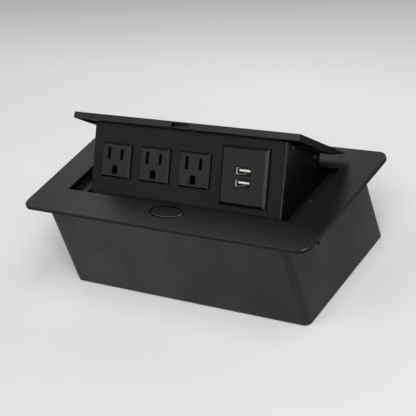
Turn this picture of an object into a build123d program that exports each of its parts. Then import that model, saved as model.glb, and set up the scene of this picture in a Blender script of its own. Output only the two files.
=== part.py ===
from build123d import *
from math import acos, atan2, ceil, cos, degrees, pi, radians, sin, sqrt, tan
import os

# Pop up desk socket: a steel box hung in a desk top, with a lid and sockets that swing up.
# Millimetres, +Z up. The origin is the bottom centre of the housing and the front faces -Y.
# What swings is drawn where it lies when the lid is shut, on planes that are swung open.

os.makedirs("parts", exist_ok=True)

# Desk plate
plate_length = 268.0
front_rim = 28.0
rear_rim = 24.7
plate_thickness = 3.0
seat_recess = 0.3
seat_gap = 0.5
plate_corner = 9.0
plate_edge = 0.5
plate_under_edge = 1.6
opening_length = 212.4
opening_edge = 0.3
stud_radius = 2.0
stud_length = 7.0
stud_outer_share = 0.43
stud_inner_share = 0.22
stud_rear_share = 0.33
nut_radius = 4.0
nut_height = 3.2

# Housing, a folded sheet box
total_height = 74.0
housing_length = 223.0
front_overhang = 5.1
rear_overhang = 3.5
housing_corner = 5.0
sheet = 1.2
flange_width = 11.0
fold_radius = 1.5
clamp_radius = 1.25
clamp_collar = 3.0
clamp_collar_length = 2.0
clamp_setback = 13.0
clamp_drop = 27.0
cable_bore = 4.5
grommet_neck = 8.0
grommet_flange = 10.5
grommet_lip = 2.0
cable_side = 70.0
cable_height = 22.0

# Swing of the lid and sockets
open_angle = 46.5
pivot_setback = 12.6
pivot_drop = 15.2
shaft_radius = 3.0
shaft_end = 2.2
fit = 0.05
running_gap = 0.3

# Lid
lid_side_gap = 0.5
lid_front_gap = 0.6
lid_rear_gap = 2.8
lid_depth = 61.9
lid_thickness = 4.9
lid_taper = 18.0
lid_edge = 0.3
pocket_width = 16.0
pocket_depth = 4.5
pocket_skin = 1.2
strike_width = 26.0
strike_depth = 8.0
strike_thickness = 0.7
strike_screw_radius = 0.9

# Socket cradle, one sheet folded to a U
cradle_width = 181.0
cradle_depth = 41.5
face_setback = 9.06
face_lean = 11.4
face_length = 55.2
lobe_radius = 8.5
neck_upper = 23.5
neck_waist_back = 50.0
neck_lower = 38.0
stop_side = 72.0
stop_width = 20.0
stop_reach = 5.5
stop_pad_thickness = 1.4
stop_pad_depth = 5.0
stop_pad_front = 5.6
bush_radius = 4.5
bush_flange_radius = 6.0
bush_flange = 1.0

# Hinge brackets with the ledges beside the lid
ledge_drop = 6.1
ledge_inner = 95.0
bracket_reach = 3.0
bracket_spare = 5.9
bracket_wall_leg = 12.0
cheek_front_drop = 16.0
cheek_deep_drop = 42.0
cheek_deep_front = 38.1
cheek_deep_rear = 6.1
cheek_rear_drop = 26.0
bumper_radius = 2.6
bumper_height = 0.9
bumper_side = 98.3
bumper_round = 0.8
clip_radius = 5.0
clip_thickness = 0.8

# Damper gear, pitch sizes from module and teeth
gear_module = 1.0
sector_teeth = 40
pinion_teeth = 12
pressure_angle = 20.0
addendum = 0.7
dedendum = 1.1
tooth_thinning = 0.1
tooth_embed = 0.4
gear_width = 2.5
damper_direction = 210.0
sector_spare = 12.0
hub_radius = 9.5
rivet_radius = 1.2
rivet_head = 2.0
rivet_head_height = 0.7
rivet_circle = 12.0
rivet_before = 8.0
rivet_after = 22.0
damper_radius = 9.5
damper_height = 10.0
damper_ear = 14.0
damper_ear_radius = 3.6
damper_ear_thickness = 2.0
pinion_hub = 3.6
pinion_shaft = 1.5
pinion_depth = 5.0

# Torsion springs round the shaft
torsion_wire = 1.5
torsion_coil = 5.2
torsion_pitch = 2.1
torsion_turns = 6
torsion_side = 60.0
torsion_wall_leg = 15.0
torsion_cover_angle = 175.0
quarter_angle = 90.0

# Button and latch
button_reach = 9.1
button_hole_long = 15.2
button_hole_short = 6.65
button_gap = 0.6
button_thickness = 1.5
button_edge = 0.6
button_travel = 1.5
stem_width = 8.0
stem_rear = 2.5
stem_front = 1.5
stem_length = 11.0
barb_reach = 0.8
barb_height = 1.5
barb_drop = 8.5
bolt_thickness = 0.8
bolt_gap = 0.2
bolt_bite = 1.0
nose_width = 14.0
nose_length = 3.6
bolt_width = 20.0
bolt_reach = 18.5
bolt_tab_side = 7.5
bolt_tab_width = 4.0
bolt_tab_height = 4.5
bolt_tab_reach = 6.0
guide_width = 44.0
guide_front_reach = 20.5
guide_rear_reach = 2.0
guide_drop = 19.5
guide_floor = 1.5
slide_gap = 0.15
screw_radius = 1.5
screw_head = 2.8
screw_head_height = 1.6
guide_screw_side = 19.0
guide_screw_bite = 2.1
guide_screw_hole = 2.25
latch_spring_wire = 0.45
latch_spring_coil = 1.5
latch_spring_turns = 6
latch_spring_reach = 14.0
button_spring_wire = 0.5
button_spring_coil = 1.6
button_spring_turns = 5

# Outlets
outlet_first = -65.1
outlet_pitch = 38.1
outlet_count = 3
outlet_drop = 27.6
outlet_width = 28.4
outlet_height = 26.4
outlet_raise = 2.4
outlet_rim = 1.1
outlet_bevel = 1.3
outlet_body_width = 25.0
outlet_body_height = 23.0
outlet_body_depth = 16.0
panel_gap = 0.2
slot_spacing = 12.7
slot_width = 2.3
neutral_height = 9.0
line_height = 7.6
slot_rise = 4.9
ground_fall = 7.0
ground_width = 6.0
ground_height = 6.3
slot_depth = 8.0
well_spare = 0.6
contact_sheet = 0.5
contact_gap = 0.3
tail_width = 5.0
tail_sheet = 0.8
tail_length = 8.0
back_thickness = 2.0

# USB charger
usb_side = 56.45
usb_drop = 27.8
usb_width = 41.3
usb_height = 43.3
usb_raise = 2.8
usb_rim = 1.3
usb_bevel = 2.2
usb_body_width = 33.0
usb_body_height = 35.0
usb_body_depth = 4.0
port_width = 13.2
port_height = 5.8
port_pitch = 8.7
port_fall = 0.5
port_shell = 0.35
port_length = 13.0
port_recess = 0.3
tongue_width = 11.1
tongue_height = 1.9
tongue_rise = 0.8
board_thickness = 1.6
board_width = 31.0
board_height = 33.0
converter_width = 28.0
converter_height = 30.0
converter_depth = 14.0
converter_corner = 2.0
post_radius = 2.2

# Fasteners of the cradle
side_screw_front = 16.3
side_screw_spacing = 29.2
side_screw_drop = 7.5
side_screw_edge = 3.0
lid_screw_side = 81.0
lid_screw_front = 19.4
lid_screw_spacing = 19.0
lid_screw_reach = 3.0
angle_leg = 13.0
angle_drop = 7.5
cover_top = 7.0
cover_flange_top = 16.0
cover_flange = 8.0
cover_screw_near = 21.0
cover_screw_far = 50.0
cover_cable_radius = 7.0
flat_head = 2.2
flat_head_height = 0.8
cross_width = 0.6
cross_length = 2.6
cross_depth = 0.5
bush_barrel = 4.0
overrun = 1.0

# Places worked out from the sizes above. Front places are ahead of the opening's front edge
opening_depth = lid_front_gap + lid_depth + lid_rear_gap
plate_depth = front_rim + opening_depth + rear_rim
plate_under = total_height - plate_thickness
seat_z = plate_under + seat_recess
opening_front = front_rim - plate_depth / 2
opening_middle = opening_front + opening_depth / 2
housing_depth = plate_depth - front_overhang - rear_overhang
housing_middle = (front_overhang - rear_overhang) / 2
inner_length = housing_length - 2 * sheet
inner_depth = housing_depth - 2 * sheet
inner_corner = housing_corner - sheet
wall_front = housing_middle - inner_depth / 2
wall_rear = housing_middle + inner_depth / 2
lid_width = opening_length - 2 * lid_side_gap
lid_front = opening_front + lid_front_gap
lid_rear = lid_front + lid_depth
lid_under = total_height - lid_thickness
taper_start = lid_rear - lid_taper
pivot_y = lid_rear + pivot_setback
pivot_z = total_height - pivot_drop
face_front = lid_front + face_setback
cheek_half = cradle_width / 2
swing_cos = cos(radians(open_angle))
swing_sin = sin(radians(open_angle))
lean_cos = cos(radians(face_lean))
lean_sin = sin(radians(face_lean))
pivot_down = (lid_under - pivot_z) * lean_cos + (pivot_y - face_front) * lean_sin
pivot_behind = (pivot_y - face_front) * lean_cos - (lid_under - pivot_z) * lean_sin
button_y = opening_front - button_reach
clamp_y = opening_front + clamp_setback
bracket_front = opening_front - bracket_reach
bracket_rear = pivot_y + bracket_spare
guide_front = opening_front - guide_front_reach
guide_rear = opening_front - guide_rear_reach
guide_middle = (guide_front + guide_rear) / 2
ledge_top = total_height - ledge_drop
sector_pitch = gear_module * sector_teeth / 2
pinion_pitch = gear_module * pinion_teeth / 2
centre_distance = sector_pitch + pinion_pitch
damper_y = pivot_y + centre_distance * cos(radians(damper_direction))
damper_z = pivot_z + centre_distance * sin(radians(damper_direction))


def popped(x, y, z):
    """Where a point of the shut lid and cradle is once they stand open."""
    back = y - pivot_y
    rise = z - pivot_z
    return (
        x,
        pivot_y + back * swing_cos + rise * swing_sin,
        pivot_z - back * swing_sin + rise * swing_cos,
    )


def level_plane(z):
    """A plane that is level at height z when the lid is shut, with its origin at y zero."""
    return Plane(
        origin=popped(0, 0, z), x_dir=(1, 0, 0), z_dir=(0, swing_sin, swing_cos)
    )


def profile_plane(x):
    """A side view of the shut cradle at x, drawn in y and z."""
    return Plane(
        origin=popped(x, 0, 0), x_dir=(0, swing_cos, -swing_sin), z_dir=(1, 0, 0)
    )


def on_face(down, behind):
    """y and z, shut, of a point down the socket panel and behind its front."""
    return (
        face_front + down * lean_sin + behind * lean_cos,
        lid_under - down * lean_cos + behind * lean_sin,
    )


def face_plane(behind, down=0.0, side=0.0):
    """The panel's own plane, seen from the front, with +Y up the panel."""
    tilt = radians(open_angle - face_lean)
    return Plane(
        origin=popped(side, *on_face(down, behind)),
        x_dir=(1, 0, 0),
        z_dir=(0, -cos(tilt), sin(tilt)),
    )


def save(part, label):
    part.label = label
    export_step(part, f"parts/{label}.step")


def coil_points(base, radius, pitch, sweep_angle, first):
    """Points at most a quarter turn apart on a coil round the Z axis of base, and the ways they face."""
    steps = ceil(sweep_angle / quarter_angle)
    rise = pitch / (2 * pi)
    points = []
    for number in range(steps + 1):
        turned = radians(sweep_angle * number / steps)
        angle = radians(first) + turned
        place = base.from_local_coords((radius * cos(angle), radius * sin(angle), rise * turned))
        ahead = base.x_dir * (-radius * sin(angle)) + base.y_dir * (radius * cos(angle))
        points.append((place, (ahead + base.z_dir * rise).normalized()))
    return points


def coil_gap(name, points, wire):
    """The least gap between turns, measured between points three or more steps apart."""
    gap = min(
        (later - earlier).length - wire
        for number, (earlier, _) in enumerate(points)
        for later, _ in points[number + 3 :]
    )
    print(name, "least gap between turns", round(gap, 2))


def coil_wire(points, wire, lead=0.0, tail=0.0):
    """One unbroken tube through the points, with straight ends."""
    start, start_way = points[0]
    end, end_way = points[-1]
    with BuildPart() as spring:
        with BuildLine():
            if lead:
                Line(start - start_way * lead, start)
            for (near, near_way), (far, far_way) in zip(points, points[1:]):
                across = far - near
                ways = near_way + far_way
                spread = 1 - near_way.dot(far_way)
                toward = across.dot(ways)
                reach = (sqrt(toward**2 + 2 * spread * across.dot(across)) - toward) / (2 * spread)
                middle = (near + far + (near_way - far_way) * reach) / 2
                middle_way = (far - far_way * reach) - (near + near_way * reach)
                TangentArc(near, middle, tangent=near_way)
                TangentArc(middle, far, tangent=middle_way.normalized())
            if tail:
                Line(end, end + end_way * tail)
        with BuildSketch(Plane(origin=start - start_way * lead, z_dir=start_way)):
            Circle(wire / 2)
        sweep()
    return spring.part


# Desk plate, with welded studs under its front and rear rims
stud_front = wall_front + flange_width / 2
stud_rear = wall_rear - flange_width / 2
stud_places = [
    (side * housing_length * share, y)
    for side in (-1, 1)
    for share, y in (
        (stud_outer_share, stud_front),
        (stud_inner_share, stud_front),
        (stud_rear_share, stud_rear),
    )
]
guide_screw_places = [(-guide_screw_side, button_y), (guide_screw_side, button_y)]

with BuildPart() as faceplate:
    with BuildSketch(Plane.XY.offset(plate_under)):
        RectangleRounded(plate_length, plate_depth, plate_corner)
        with Locations((0, opening_middle)):
            Rectangle(opening_length, opening_depth, mode=Mode.SUBTRACT)
        with Locations((0, button_y)):
            Ellipse(button_hole_long, button_hole_short, mode=Mode.SUBTRACT)
    extrude(amount=plate_thickness)
    top_face = faceplate.faces().sort_by(Axis.Z)[-1]
    chamfer(top_face.outer_wire().edges(), plate_edge)
    under_face = faceplate.faces().sort_by(Axis.Z)[0]
    chamfer(under_face.outer_wire().edges(), plate_under_edge)
    top_face = faceplate.faces().sort_by(Axis.Z)[-1]
    chamfer(top_face.inner_wires().edges(), opening_edge)
    with BuildSketch(Plane.XY.offset(plate_under)):
        with Locations((0, housing_middle)):
            RectangleRounded(
                housing_length + 2 * seat_gap, housing_depth + 2 * seat_gap, housing_corner + seat_gap
            )
    extrude(amount=seat_recess, mode=Mode.SUBTRACT)
    with BuildSketch(Plane.XY.offset(seat_z)):
        with Locations(*stud_places):
            Circle(stud_radius)
    extrude(amount=-stud_length)
    with BuildSketch(Plane.XY.offset(seat_z)):
        with Locations(*guide_screw_places):
            Circle(screw_radius + fit)
    extrude(amount=guide_screw_hole, mode=Mode.SUBTRACT)
save(faceplate.part, "faceplate")

with BuildPart() as plate_nuts:
    with BuildSketch(Plane.XY.offset(seat_z - sheet)):
        with Locations(*stud_places):
            RegularPolygon(nut_radius, 6)
            Circle(stud_radius + fit, mode=Mode.SUBTRACT)
    extrude(amount=-nut_height)
save(plate_nuts.part, "plate_nuts")

# Housing, with flanges under the plate, a cable hole behind and a tapped collar in each side
clamp_z = total_height - clamp_drop

with BuildPart() as housing_shell:
    with BuildSketch():
        with Locations((0, housing_middle)):
            RectangleRounded(housing_length, housing_depth, housing_corner)
    extrude(amount=seat_z)
    chamfer(housing_shell.faces().sort_by(Axis.Z)[0].edges(), sheet / 2)
    with BuildSketch(Plane.XY.offset(sheet)):
        with Locations((0, housing_middle)):
            RectangleRounded(inner_length, inner_depth, inner_corner)
    extrude(amount=seat_z - 2 * sheet, mode=Mode.SUBTRACT)
    with BuildSketch(Plane.XY.offset(seat_z - sheet - overrun)):
        with Locations((0, housing_middle)):
            Rectangle(inner_length, inner_depth - 2 * flange_width)
        with Locations((0, wall_front + flange_width / 2)):
            Rectangle(guide_width + 2 * running_gap, flange_width + 2 * overrun)
    extrude(amount=sheet + 2 * overrun, mode=Mode.SUBTRACT)
    with BuildSketch(Plane.XY.offset(seat_z)):
        with Locations(*stud_places):
            Circle(stud_radius + 2 * fit)
    extrude(amount=-2 * sheet, mode=Mode.SUBTRACT)
    with BuildSketch(Plane.XZ.offset(-wall_rear - sheet - overrun)):
        with Locations((-cable_side, cable_height)):
            Circle(grommet_neck)
    extrude(amount=sheet + 2 * overrun, mode=Mode.SUBTRACT)
    with BuildSketch(Plane.YZ.offset(inner_length / 2 - clamp_collar_length)):
        with Locations((clamp_y, clamp_z)):
            Circle(clamp_collar)
    extrude(amount=clamp_collar_length + sheet / 2)
    mirror(
        Solid.make_cylinder(
            clamp_collar,
            clamp_collar_length + sheet / 2,
            Plane(
                origin=(inner_length / 2 - clamp_collar_length, clamp_y, clamp_z),
                z_dir=(1, 0, 0),
            ),
        ),
        about=Plane.YZ,
    )
    with BuildSketch(Plane.YZ.offset(-housing_length / 2 - overrun)):
        with Locations((clamp_y, clamp_z)):
            Circle(clamp_radius)
    extrude(amount=housing_length + 2 * overrun, mode=Mode.SUBTRACT)
save(housing_shell.part, "housing_shell")

with BuildPart() as cable_grommet:
    with BuildSketch(Plane.YZ.offset(-cable_side)):
        with BuildLine():
            Polyline(
                (wall_rear - grommet_lip, cable_height + cable_bore),
                (wall_rear + sheet + grommet_lip, cable_height + cable_bore),
                (wall_rear + sheet + grommet_lip, cable_height + grommet_flange - grommet_lip / 2),
                (wall_rear + sheet + grommet_lip / 2, cable_height + grommet_flange),
                (wall_rear + sheet, cable_height + grommet_flange),
                (wall_rear + sheet, cable_height + grommet_neck - fit),
                (wall_rear, cable_height + grommet_neck - fit),
                (wall_rear, cable_height + grommet_flange),
                (wall_rear - grommet_lip, cable_height + grommet_flange),
                close=True,
            )
        make_face()
    revolve(axis=Axis((-cable_side, 0, cable_height), (0, 1, 0)))
save(cable_grommet.part, "cable_grommet")


# Hinge brackets: a ledge beside the lid, a leg on the housing wall and a cheek that holds the shaft
def hinge_bracket(side):
    """The bracket on one side, 1 for right and -1 for left. The left one also carries the damper."""
    wall = inner_length / 2
    bracket_length = bracket_rear - bracket_front
    with BuildPart() as bracket:
        with BuildSketch(Plane.XZ.offset(-bracket_rear)):
            with BuildLine():
                Polyline(
                    (side * ledge_inner, ledge_top),
                    (side * wall, ledge_top),
                    (side * wall, ledge_top - bracket_wall_leg),
                    (side * (wall - sheet), ledge_top - bracket_wall_leg),
                    (side * (wall - sheet), ledge_top - sheet),
                    (side * ledge_inner, ledge_top - sheet),
                    close=True,
                )
            make_face()
        extrude(amount=bracket_length)
        with BuildSketch(Plane.YZ.offset(side * ledge_inner)):
            with BuildLine():
                Polyline(
                    (bracket_front, ledge_top),
                    (bracket_rear, ledge_top),
                    (bracket_rear, total_height - cheek_rear_drop),
                    (pivot_y - cheek_deep_rear, total_height - cheek_deep_drop),
                    (pivot_y - cheek_deep_front, total_height - cheek_deep_drop),
                    (bracket_front, total_height - cheek_front_drop),
                    close=True,
                )
            make_face()
            with Locations((pivot_y, pivot_z)):
                Circle(shaft_radius + fit, mode=Mode.SUBTRACT)
            if side < 0:
                with Locations((damper_y, damper_z)):
                    Circle(pinion_hub + 2 * running_gap, mode=Mode.SUBTRACT)
                with Locations(*damper_screw_places()):
                    Circle(rivet_radius, mode=Mode.SUBTRACT)
        extrude(amount=side * sheet)
    return bracket.part


def damper_screw_places():
    """The two ears of the damper, level with its middle."""
    return [(damper_y - damper_ear, damper_z), (damper_y + damper_ear, damper_z)]


save(hinge_bracket(-1), "hinge_bracket_left")
save(hinge_bracket(1), "hinge_bracket_right")

with BuildPart() as lid_bumpers:
    with BuildSketch(Plane.XY.offset(ledge_top)):
        with Locations((-bumper_side, opening_middle), (bumper_side, opening_middle)):
            Circle(bumper_radius)
    extrude(amount=bumper_height)
    fillet(lid_bumpers.edges().group_by(Axis.Z)[-1], bumper_round)
save(lid_bumpers.part, "lid_bumpers")

pad_middle = opening_front + stop_pad_depth / 2 - stop_pad_front
with BuildPart() as stop_pads:
    with BuildSketch(Plane.XY.offset(seat_z)):
        with Locations((-stop_side, pad_middle), (stop_side, pad_middle)):
            RectangleRounded(stop_width, stop_pad_depth, plate_edge)
    extrude(amount=-stop_pad_thickness)
save(stop_pads.part, "stop_pads")

# Shaft right across the housing, with a spring clip outside each cheek
clip_side = ledge_inner + sheet + running_gap
shaft_half = clip_side + clip_thickness + shaft_end
clip_groove = shaft_radius - 2 * running_gap

with BuildPart() as hinge_shaft:
    with BuildSketch(Plane.YZ.offset(-shaft_half)):
        with Locations((pivot_y, pivot_z)):
            Circle(shaft_radius)
    extrude(amount=2 * shaft_half)
    chamfer(hinge_shaft.edges().group_by(Axis.X)[0], plate_edge)
    chamfer(hinge_shaft.edges().group_by(Axis.X)[-1], plate_edge)
    for start in (-clip_side - clip_thickness - fit, clip_side - fit):
        with BuildSketch(Plane.YZ.offset(start)):
            with Locations((pivot_y, pivot_z)):
                Circle(shaft_radius + overrun)
                Circle(clip_groove, mode=Mode.SUBTRACT)
        extrude(amount=clip_thickness + 2 * fit, mode=Mode.SUBTRACT)
save(hinge_shaft.part, "hinge_shaft")

with BuildPart() as shaft_clips:
    for start in (-clip_side - clip_thickness, clip_side):
        with BuildSketch(Plane.YZ.offset(start)):
            with Locations((pivot_y, pivot_z)):
                Circle(clip_radius)
                Circle(clip_groove + fit, mode=Mode.SUBTRACT)
            with Locations((pivot_y, pivot_z - clip_radius / 2)):
                Rectangle(clip_groove, clip_radius + overrun, mode=Mode.SUBTRACT)
        extrude(amount=clip_thickness)
save(shaft_clips.part, "shaft_clips")


# Torsion springs: one leg bears on the rear wall, the other on the cradle's cover
torsion_base = Plane(
    origin=(torsion_side, pivot_y, pivot_z), x_dir=(0, 1, 0), z_dir=(1, 0, 0)
)
torsion_reach = wall_rear - running_gap - torsion_wire / 2 - pivot_y
torsion_leg_span = sqrt(torsion_coil**2 + torsion_wall_leg**2)
torsion_first = atan2(torsion_wall_leg, torsion_coil) - acos(torsion_reach / torsion_leg_span)
cover_turn = radians(torsion_cover_angle + open_angle - face_lean)
cover_reach = pivot_behind - cradle_depth - running_gap - torsion_wire / 2
torsion_cover_leg = -(cover_reach + torsion_coil * sin(cover_turn)) / cos(cover_turn)
torsion_sweep = 360 * torsion_turns + torsion_cover_angle - quarter_angle - degrees(torsion_first)
torsion_points = coil_points(
    torsion_base, torsion_coil, torsion_pitch, torsion_sweep, degrees(torsion_first)
)
coil_gap("torsion spring", torsion_points, torsion_wire)
torsion_right = coil_wire(torsion_points, torsion_wire, torsion_wall_leg, torsion_cover_leg)
save(torsion_right, "torsion_spring_right")
save(mirror(torsion_right, about=Plane.YZ), "torsion_spring_left")


# Gear teeth, with involute flanks
def tooth_outline(pitch_radius, teeth):
    """One tooth along +X of a gear round the origin, with its foot sunk into the gear's disc."""
    base = pitch_radius * cos(radians(pressure_angle))
    root = pitch_radius - dedendum
    tip = pitch_radius + addendum
    foot = max(base, root)
    middle = (foot + tip) / 2
    inside = root - tooth_embed

    def flank(radius, at):
        roll = acos(min(1, base / at))
        rolled = tan(radians(pressure_angle)) - radians(pressure_angle) - tan(roll) + roll
        half = pi / (2 * teeth) - tooth_thinning / (2 * pitch_radius) + rolled
        return (radius * cos(half), radius * sin(half))

    with BuildSketch() as outline:
        with BuildLine():
            Line((inside, 0), flank(inside, foot))
            Line(flank(inside, foot), flank(foot, foot))
            ThreePointArc(flank(foot, foot), flank(middle, middle), flank(tip, tip))
            Line(flank(tip, tip), (flank(tip, tip)[0], 0))
            mirror(about=Plane.XZ)
        make_face()
    return outline.sketch


# Sector gear, riveted to the left side of the cradle. A gap between teeth faces the pinion
tooth_step = 360 / sector_teeth
sector_low = damper_direction - open_angle - sector_spare
sector_high = damper_direction + sector_spare
sector_root = sector_pitch - dedendum
teeth_before = int((damper_direction - sector_low) / tooth_step)
teeth_after = int((sector_high - damper_direction) / tooth_step)
neck_direction = 180 + face_lean - open_angle
rivet_angles = (neck_direction - rivet_before, neck_direction + rivet_after)
rivet_places = [
    (rivet_circle * cos(radians(a)), rivet_circle * sin(radians(a)))
    for a in rivet_angles
]
gear_plane = Plane(
    origin=(-cheek_half - gear_width, pivot_y, pivot_z), x_dir=(0, 1, 0), z_dir=(1, 0, 0)
)

sector_tooth = tooth_outline(sector_pitch, sector_teeth)
pinion_tooth = tooth_outline(pinion_pitch, pinion_teeth)

with BuildPart() as sector_gear:
    with BuildSketch(gear_plane):
        Circle(hub_radius)
        with BuildLine():
            corner = sector_root
            low = (corner * cos(radians(sector_low)), corner * sin(radians(sector_low)))
            high = (corner * cos(radians(sector_high)), corner * sin(radians(sector_high)))
            half_way = radians((sector_low + sector_high) / 2)
            Line((0, 0), low)
            ThreePointArc(low, (corner * cos(half_way), corner * sin(half_way)), high)
            Line(high, (0, 0))
        make_face()
        with Locations(*rivet_places):
            Circle(rivet_head + rivet_radius)
        for number in range(-teeth_before, teeth_after):
            add(sector_tooth, rotation=damper_direction + (number + 1 / 2) * tooth_step)
        Circle(bush_flange_radius + running_gap, mode=Mode.SUBTRACT)
        with Locations(*rivet_places):
            Circle(rivet_radius, mode=Mode.SUBTRACT)
    extrude(amount=gear_width)
save(sector_gear.part, "sector_gear")

rivet_plane = gear_plane.offset(-rivet_head_height)
with BuildPart() as gear_rivets:
    with BuildSketch(gear_plane):
        with Locations(*rivet_places):
            Circle(rivet_radius - fit)
    extrude(amount=gear_width + sheet)
    with BuildSketch(rivet_plane):
        with Locations(*rivet_places):
            Circle(rivet_head)
    extrude(amount=rivet_head_height)
    with BuildSketch(gear_plane.offset(gear_width + sheet)):
        with Locations(*rivet_places):
            Circle(rivet_head)
    extrude(amount=rivet_head_height)
save(gear_rivets.part, "gear_rivets")

# Damper: a body outside the left cheek and a pinion that reaches through it
pinion_face = cheek_half + running_gap + fit
pinion_plane = Plane(
    origin=(-pinion_face, damper_y, damper_z), x_dir=(0, 1, 0), z_dir=(-1, 0, 0)
)
damper_start = ledge_inner + sheet
pinion_end = damper_start + pinion_depth

with BuildPart() as damper_pinion:
    with BuildSketch(Plane(origin=(-pinion_face, damper_y, damper_z), x_dir=(0, 1, 0), z_dir=(1, 0, 0))):
        Circle(pinion_pitch - dedendum)
        for number in range(pinion_teeth):
            add(pinion_tooth, rotation=damper_direction - 180 + number * 360 / pinion_teeth)
    extrude(amount=-gear_width)
    with BuildSketch(pinion_plane.offset(gear_width)):
        Circle(pinion_hub)
    extrude(amount=damper_start - running_gap - pinion_face - gear_width)
    with BuildSketch(pinion_plane.offset(gear_width)):
        Circle(pinion_shaft)
    extrude(amount=pinion_end - pinion_face - gear_width)
save(damper_pinion.part, "damper_pinion")

damper_plane = Plane(
    origin=(-damper_start, damper_y, damper_z), x_dir=(0, 1, 0), z_dir=(-1, 0, 0)
)
with BuildPart() as damper_body:
    with BuildSketch(damper_plane):
        Circle(damper_radius)
        SlotCenterToCenter(2 * damper_ear, 2 * damper_ear_radius)
        with Locations((-damper_ear, 0), (damper_ear, 0)):
            Circle(rivet_radius + fit, mode=Mode.SUBTRACT)
    extrude(amount=damper_ear_thickness)
    with BuildSketch(damper_plane.offset(damper_ear_thickness)):
        Circle(damper_radius)
    extrude(amount=damper_height - damper_ear_thickness)
    chamfer(damper_body.faces().sort_by(Axis.X)[0].edges(), plate_edge)
    with BuildSketch(damper_plane):
        Circle(pinion_shaft + fit)
    extrude(amount=pinion_depth + running_gap, mode=Mode.SUBTRACT)
save(damper_body.part, "damper_body")

with BuildPart() as damper_screws:
    with BuildSketch(damper_plane.offset(-sheet)):
        with Locations((-damper_ear, 0), (damper_ear, 0)):
            Circle(rivet_radius - fit)
    extrude(amount=sheet + damper_ear_thickness)
    with BuildSketch(damper_plane.offset(damper_ear_thickness)):
        with Locations((-damper_ear, 0), (damper_ear, 0)):
            Circle(2 * rivet_radius)
    extrude(amount=screw_head_height)
save(damper_screws.part, "damper_screws")

# Button: an oval cap, and a stem whose sloping front draws the bolt
cap_under = total_height - button_thickness
bolt_top = plate_under - bolt_gap
bolt_under = bolt_top - bolt_thickness
stem_bottom = total_height - stem_length
wedge_drop = total_height - button_thickness - bolt_under + running_gap

with BuildPart() as button_cap:
    with BuildSketch(Plane.XY.offset(cap_under)):
        with Locations((0, button_y)):
            Ellipse(button_hole_long - button_gap, button_hole_short - button_gap)
    extrude(amount=button_thickness)
    chamfer(button_cap.faces().sort_by(Axis.Z)[-1].edges(), button_edge)
    with BuildSketch(Plane.YZ.offset(-stem_width / 2)):
        with BuildLine():
            Polyline(
                (button_y + stem_rear, cap_under),
                (button_y + stem_rear, stem_bottom),
                (button_y - stem_front, stem_bottom),
                (button_y - stem_front, cap_under - wedge_drop),
                (button_y - stem_front - wedge_drop, cap_under),
                close=True,
            )
        make_face()
    extrude(amount=stem_width)
    barb_top = total_height - barb_drop
    stem_middle = button_y + (stem_rear - stem_front) / 2
    with BuildSketch(Plane.XY.offset(barb_top - barb_height)):
        with Locations((0, stem_middle)):
            Rectangle(stem_width + 2 * barb_reach, stem_rear + stem_front)
    extrude(amount=barb_height)
save(button_cap.part, "button_cap")

# Bolt: sheet steel, a nose towards the lid, a window round the stem and two tabs for its springs
window_front = button_y - stem_front - wedge_drop + (cap_under - bolt_top) - 2 * fit
window_rear = button_y + stem_rear + button_travel + running_gap
nose_tip = lid_front + bolt_bite
nose_root = nose_tip - nose_length
tab_y = opening_front - bolt_tab_reach
bolt_front = opening_front - bolt_reach
latch_spring_front = opening_front - latch_spring_reach

with BuildPart() as latch_bolt:
    with BuildSketch(Plane.XY.offset(bolt_under)):
        with Locations((0, (nose_root + bolt_front) / 2)):
            Rectangle(bolt_width, nose_root - bolt_front)
        with Locations((0, nose_tip - nose_length)):
            Rectangle(nose_width, 2 * nose_length)
        with Locations((0, (window_front + window_rear) / 2)):
            Rectangle(stem_width + 2 * slide_gap, window_rear - window_front, mode=Mode.SUBTRACT)
    extrude(amount=bolt_thickness)
    nose_edges = latch_bolt.edges().filter_by(Axis.X).group_by(Axis.Y)[-1]
    chamfer(nose_edges.sort_by(Axis.Z)[-1], bolt_thickness / 2)
    with BuildSketch(Plane.XY.offset(bolt_under)):
        with Locations((-bolt_tab_side, tab_y), (bolt_tab_side, tab_y)):
            Rectangle(bolt_tab_width, bolt_thickness)
    extrude(amount=-bolt_tab_height)
save(latch_bolt.part, "latch_bolt")

# Guide: a moulding under the plate that holds the bolt, the stem and their springs
guide_bottom = total_height - guide_drop
guide_deck = bolt_under - slide_gap
spring_z = bolt_under - bolt_tab_height / 2
channel_front = latch_spring_front - slide_gap
channel_rear = tab_y + bolt_thickness / 2 + running_gap
channel_floor = bolt_under - bolt_tab_height - running_gap

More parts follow.
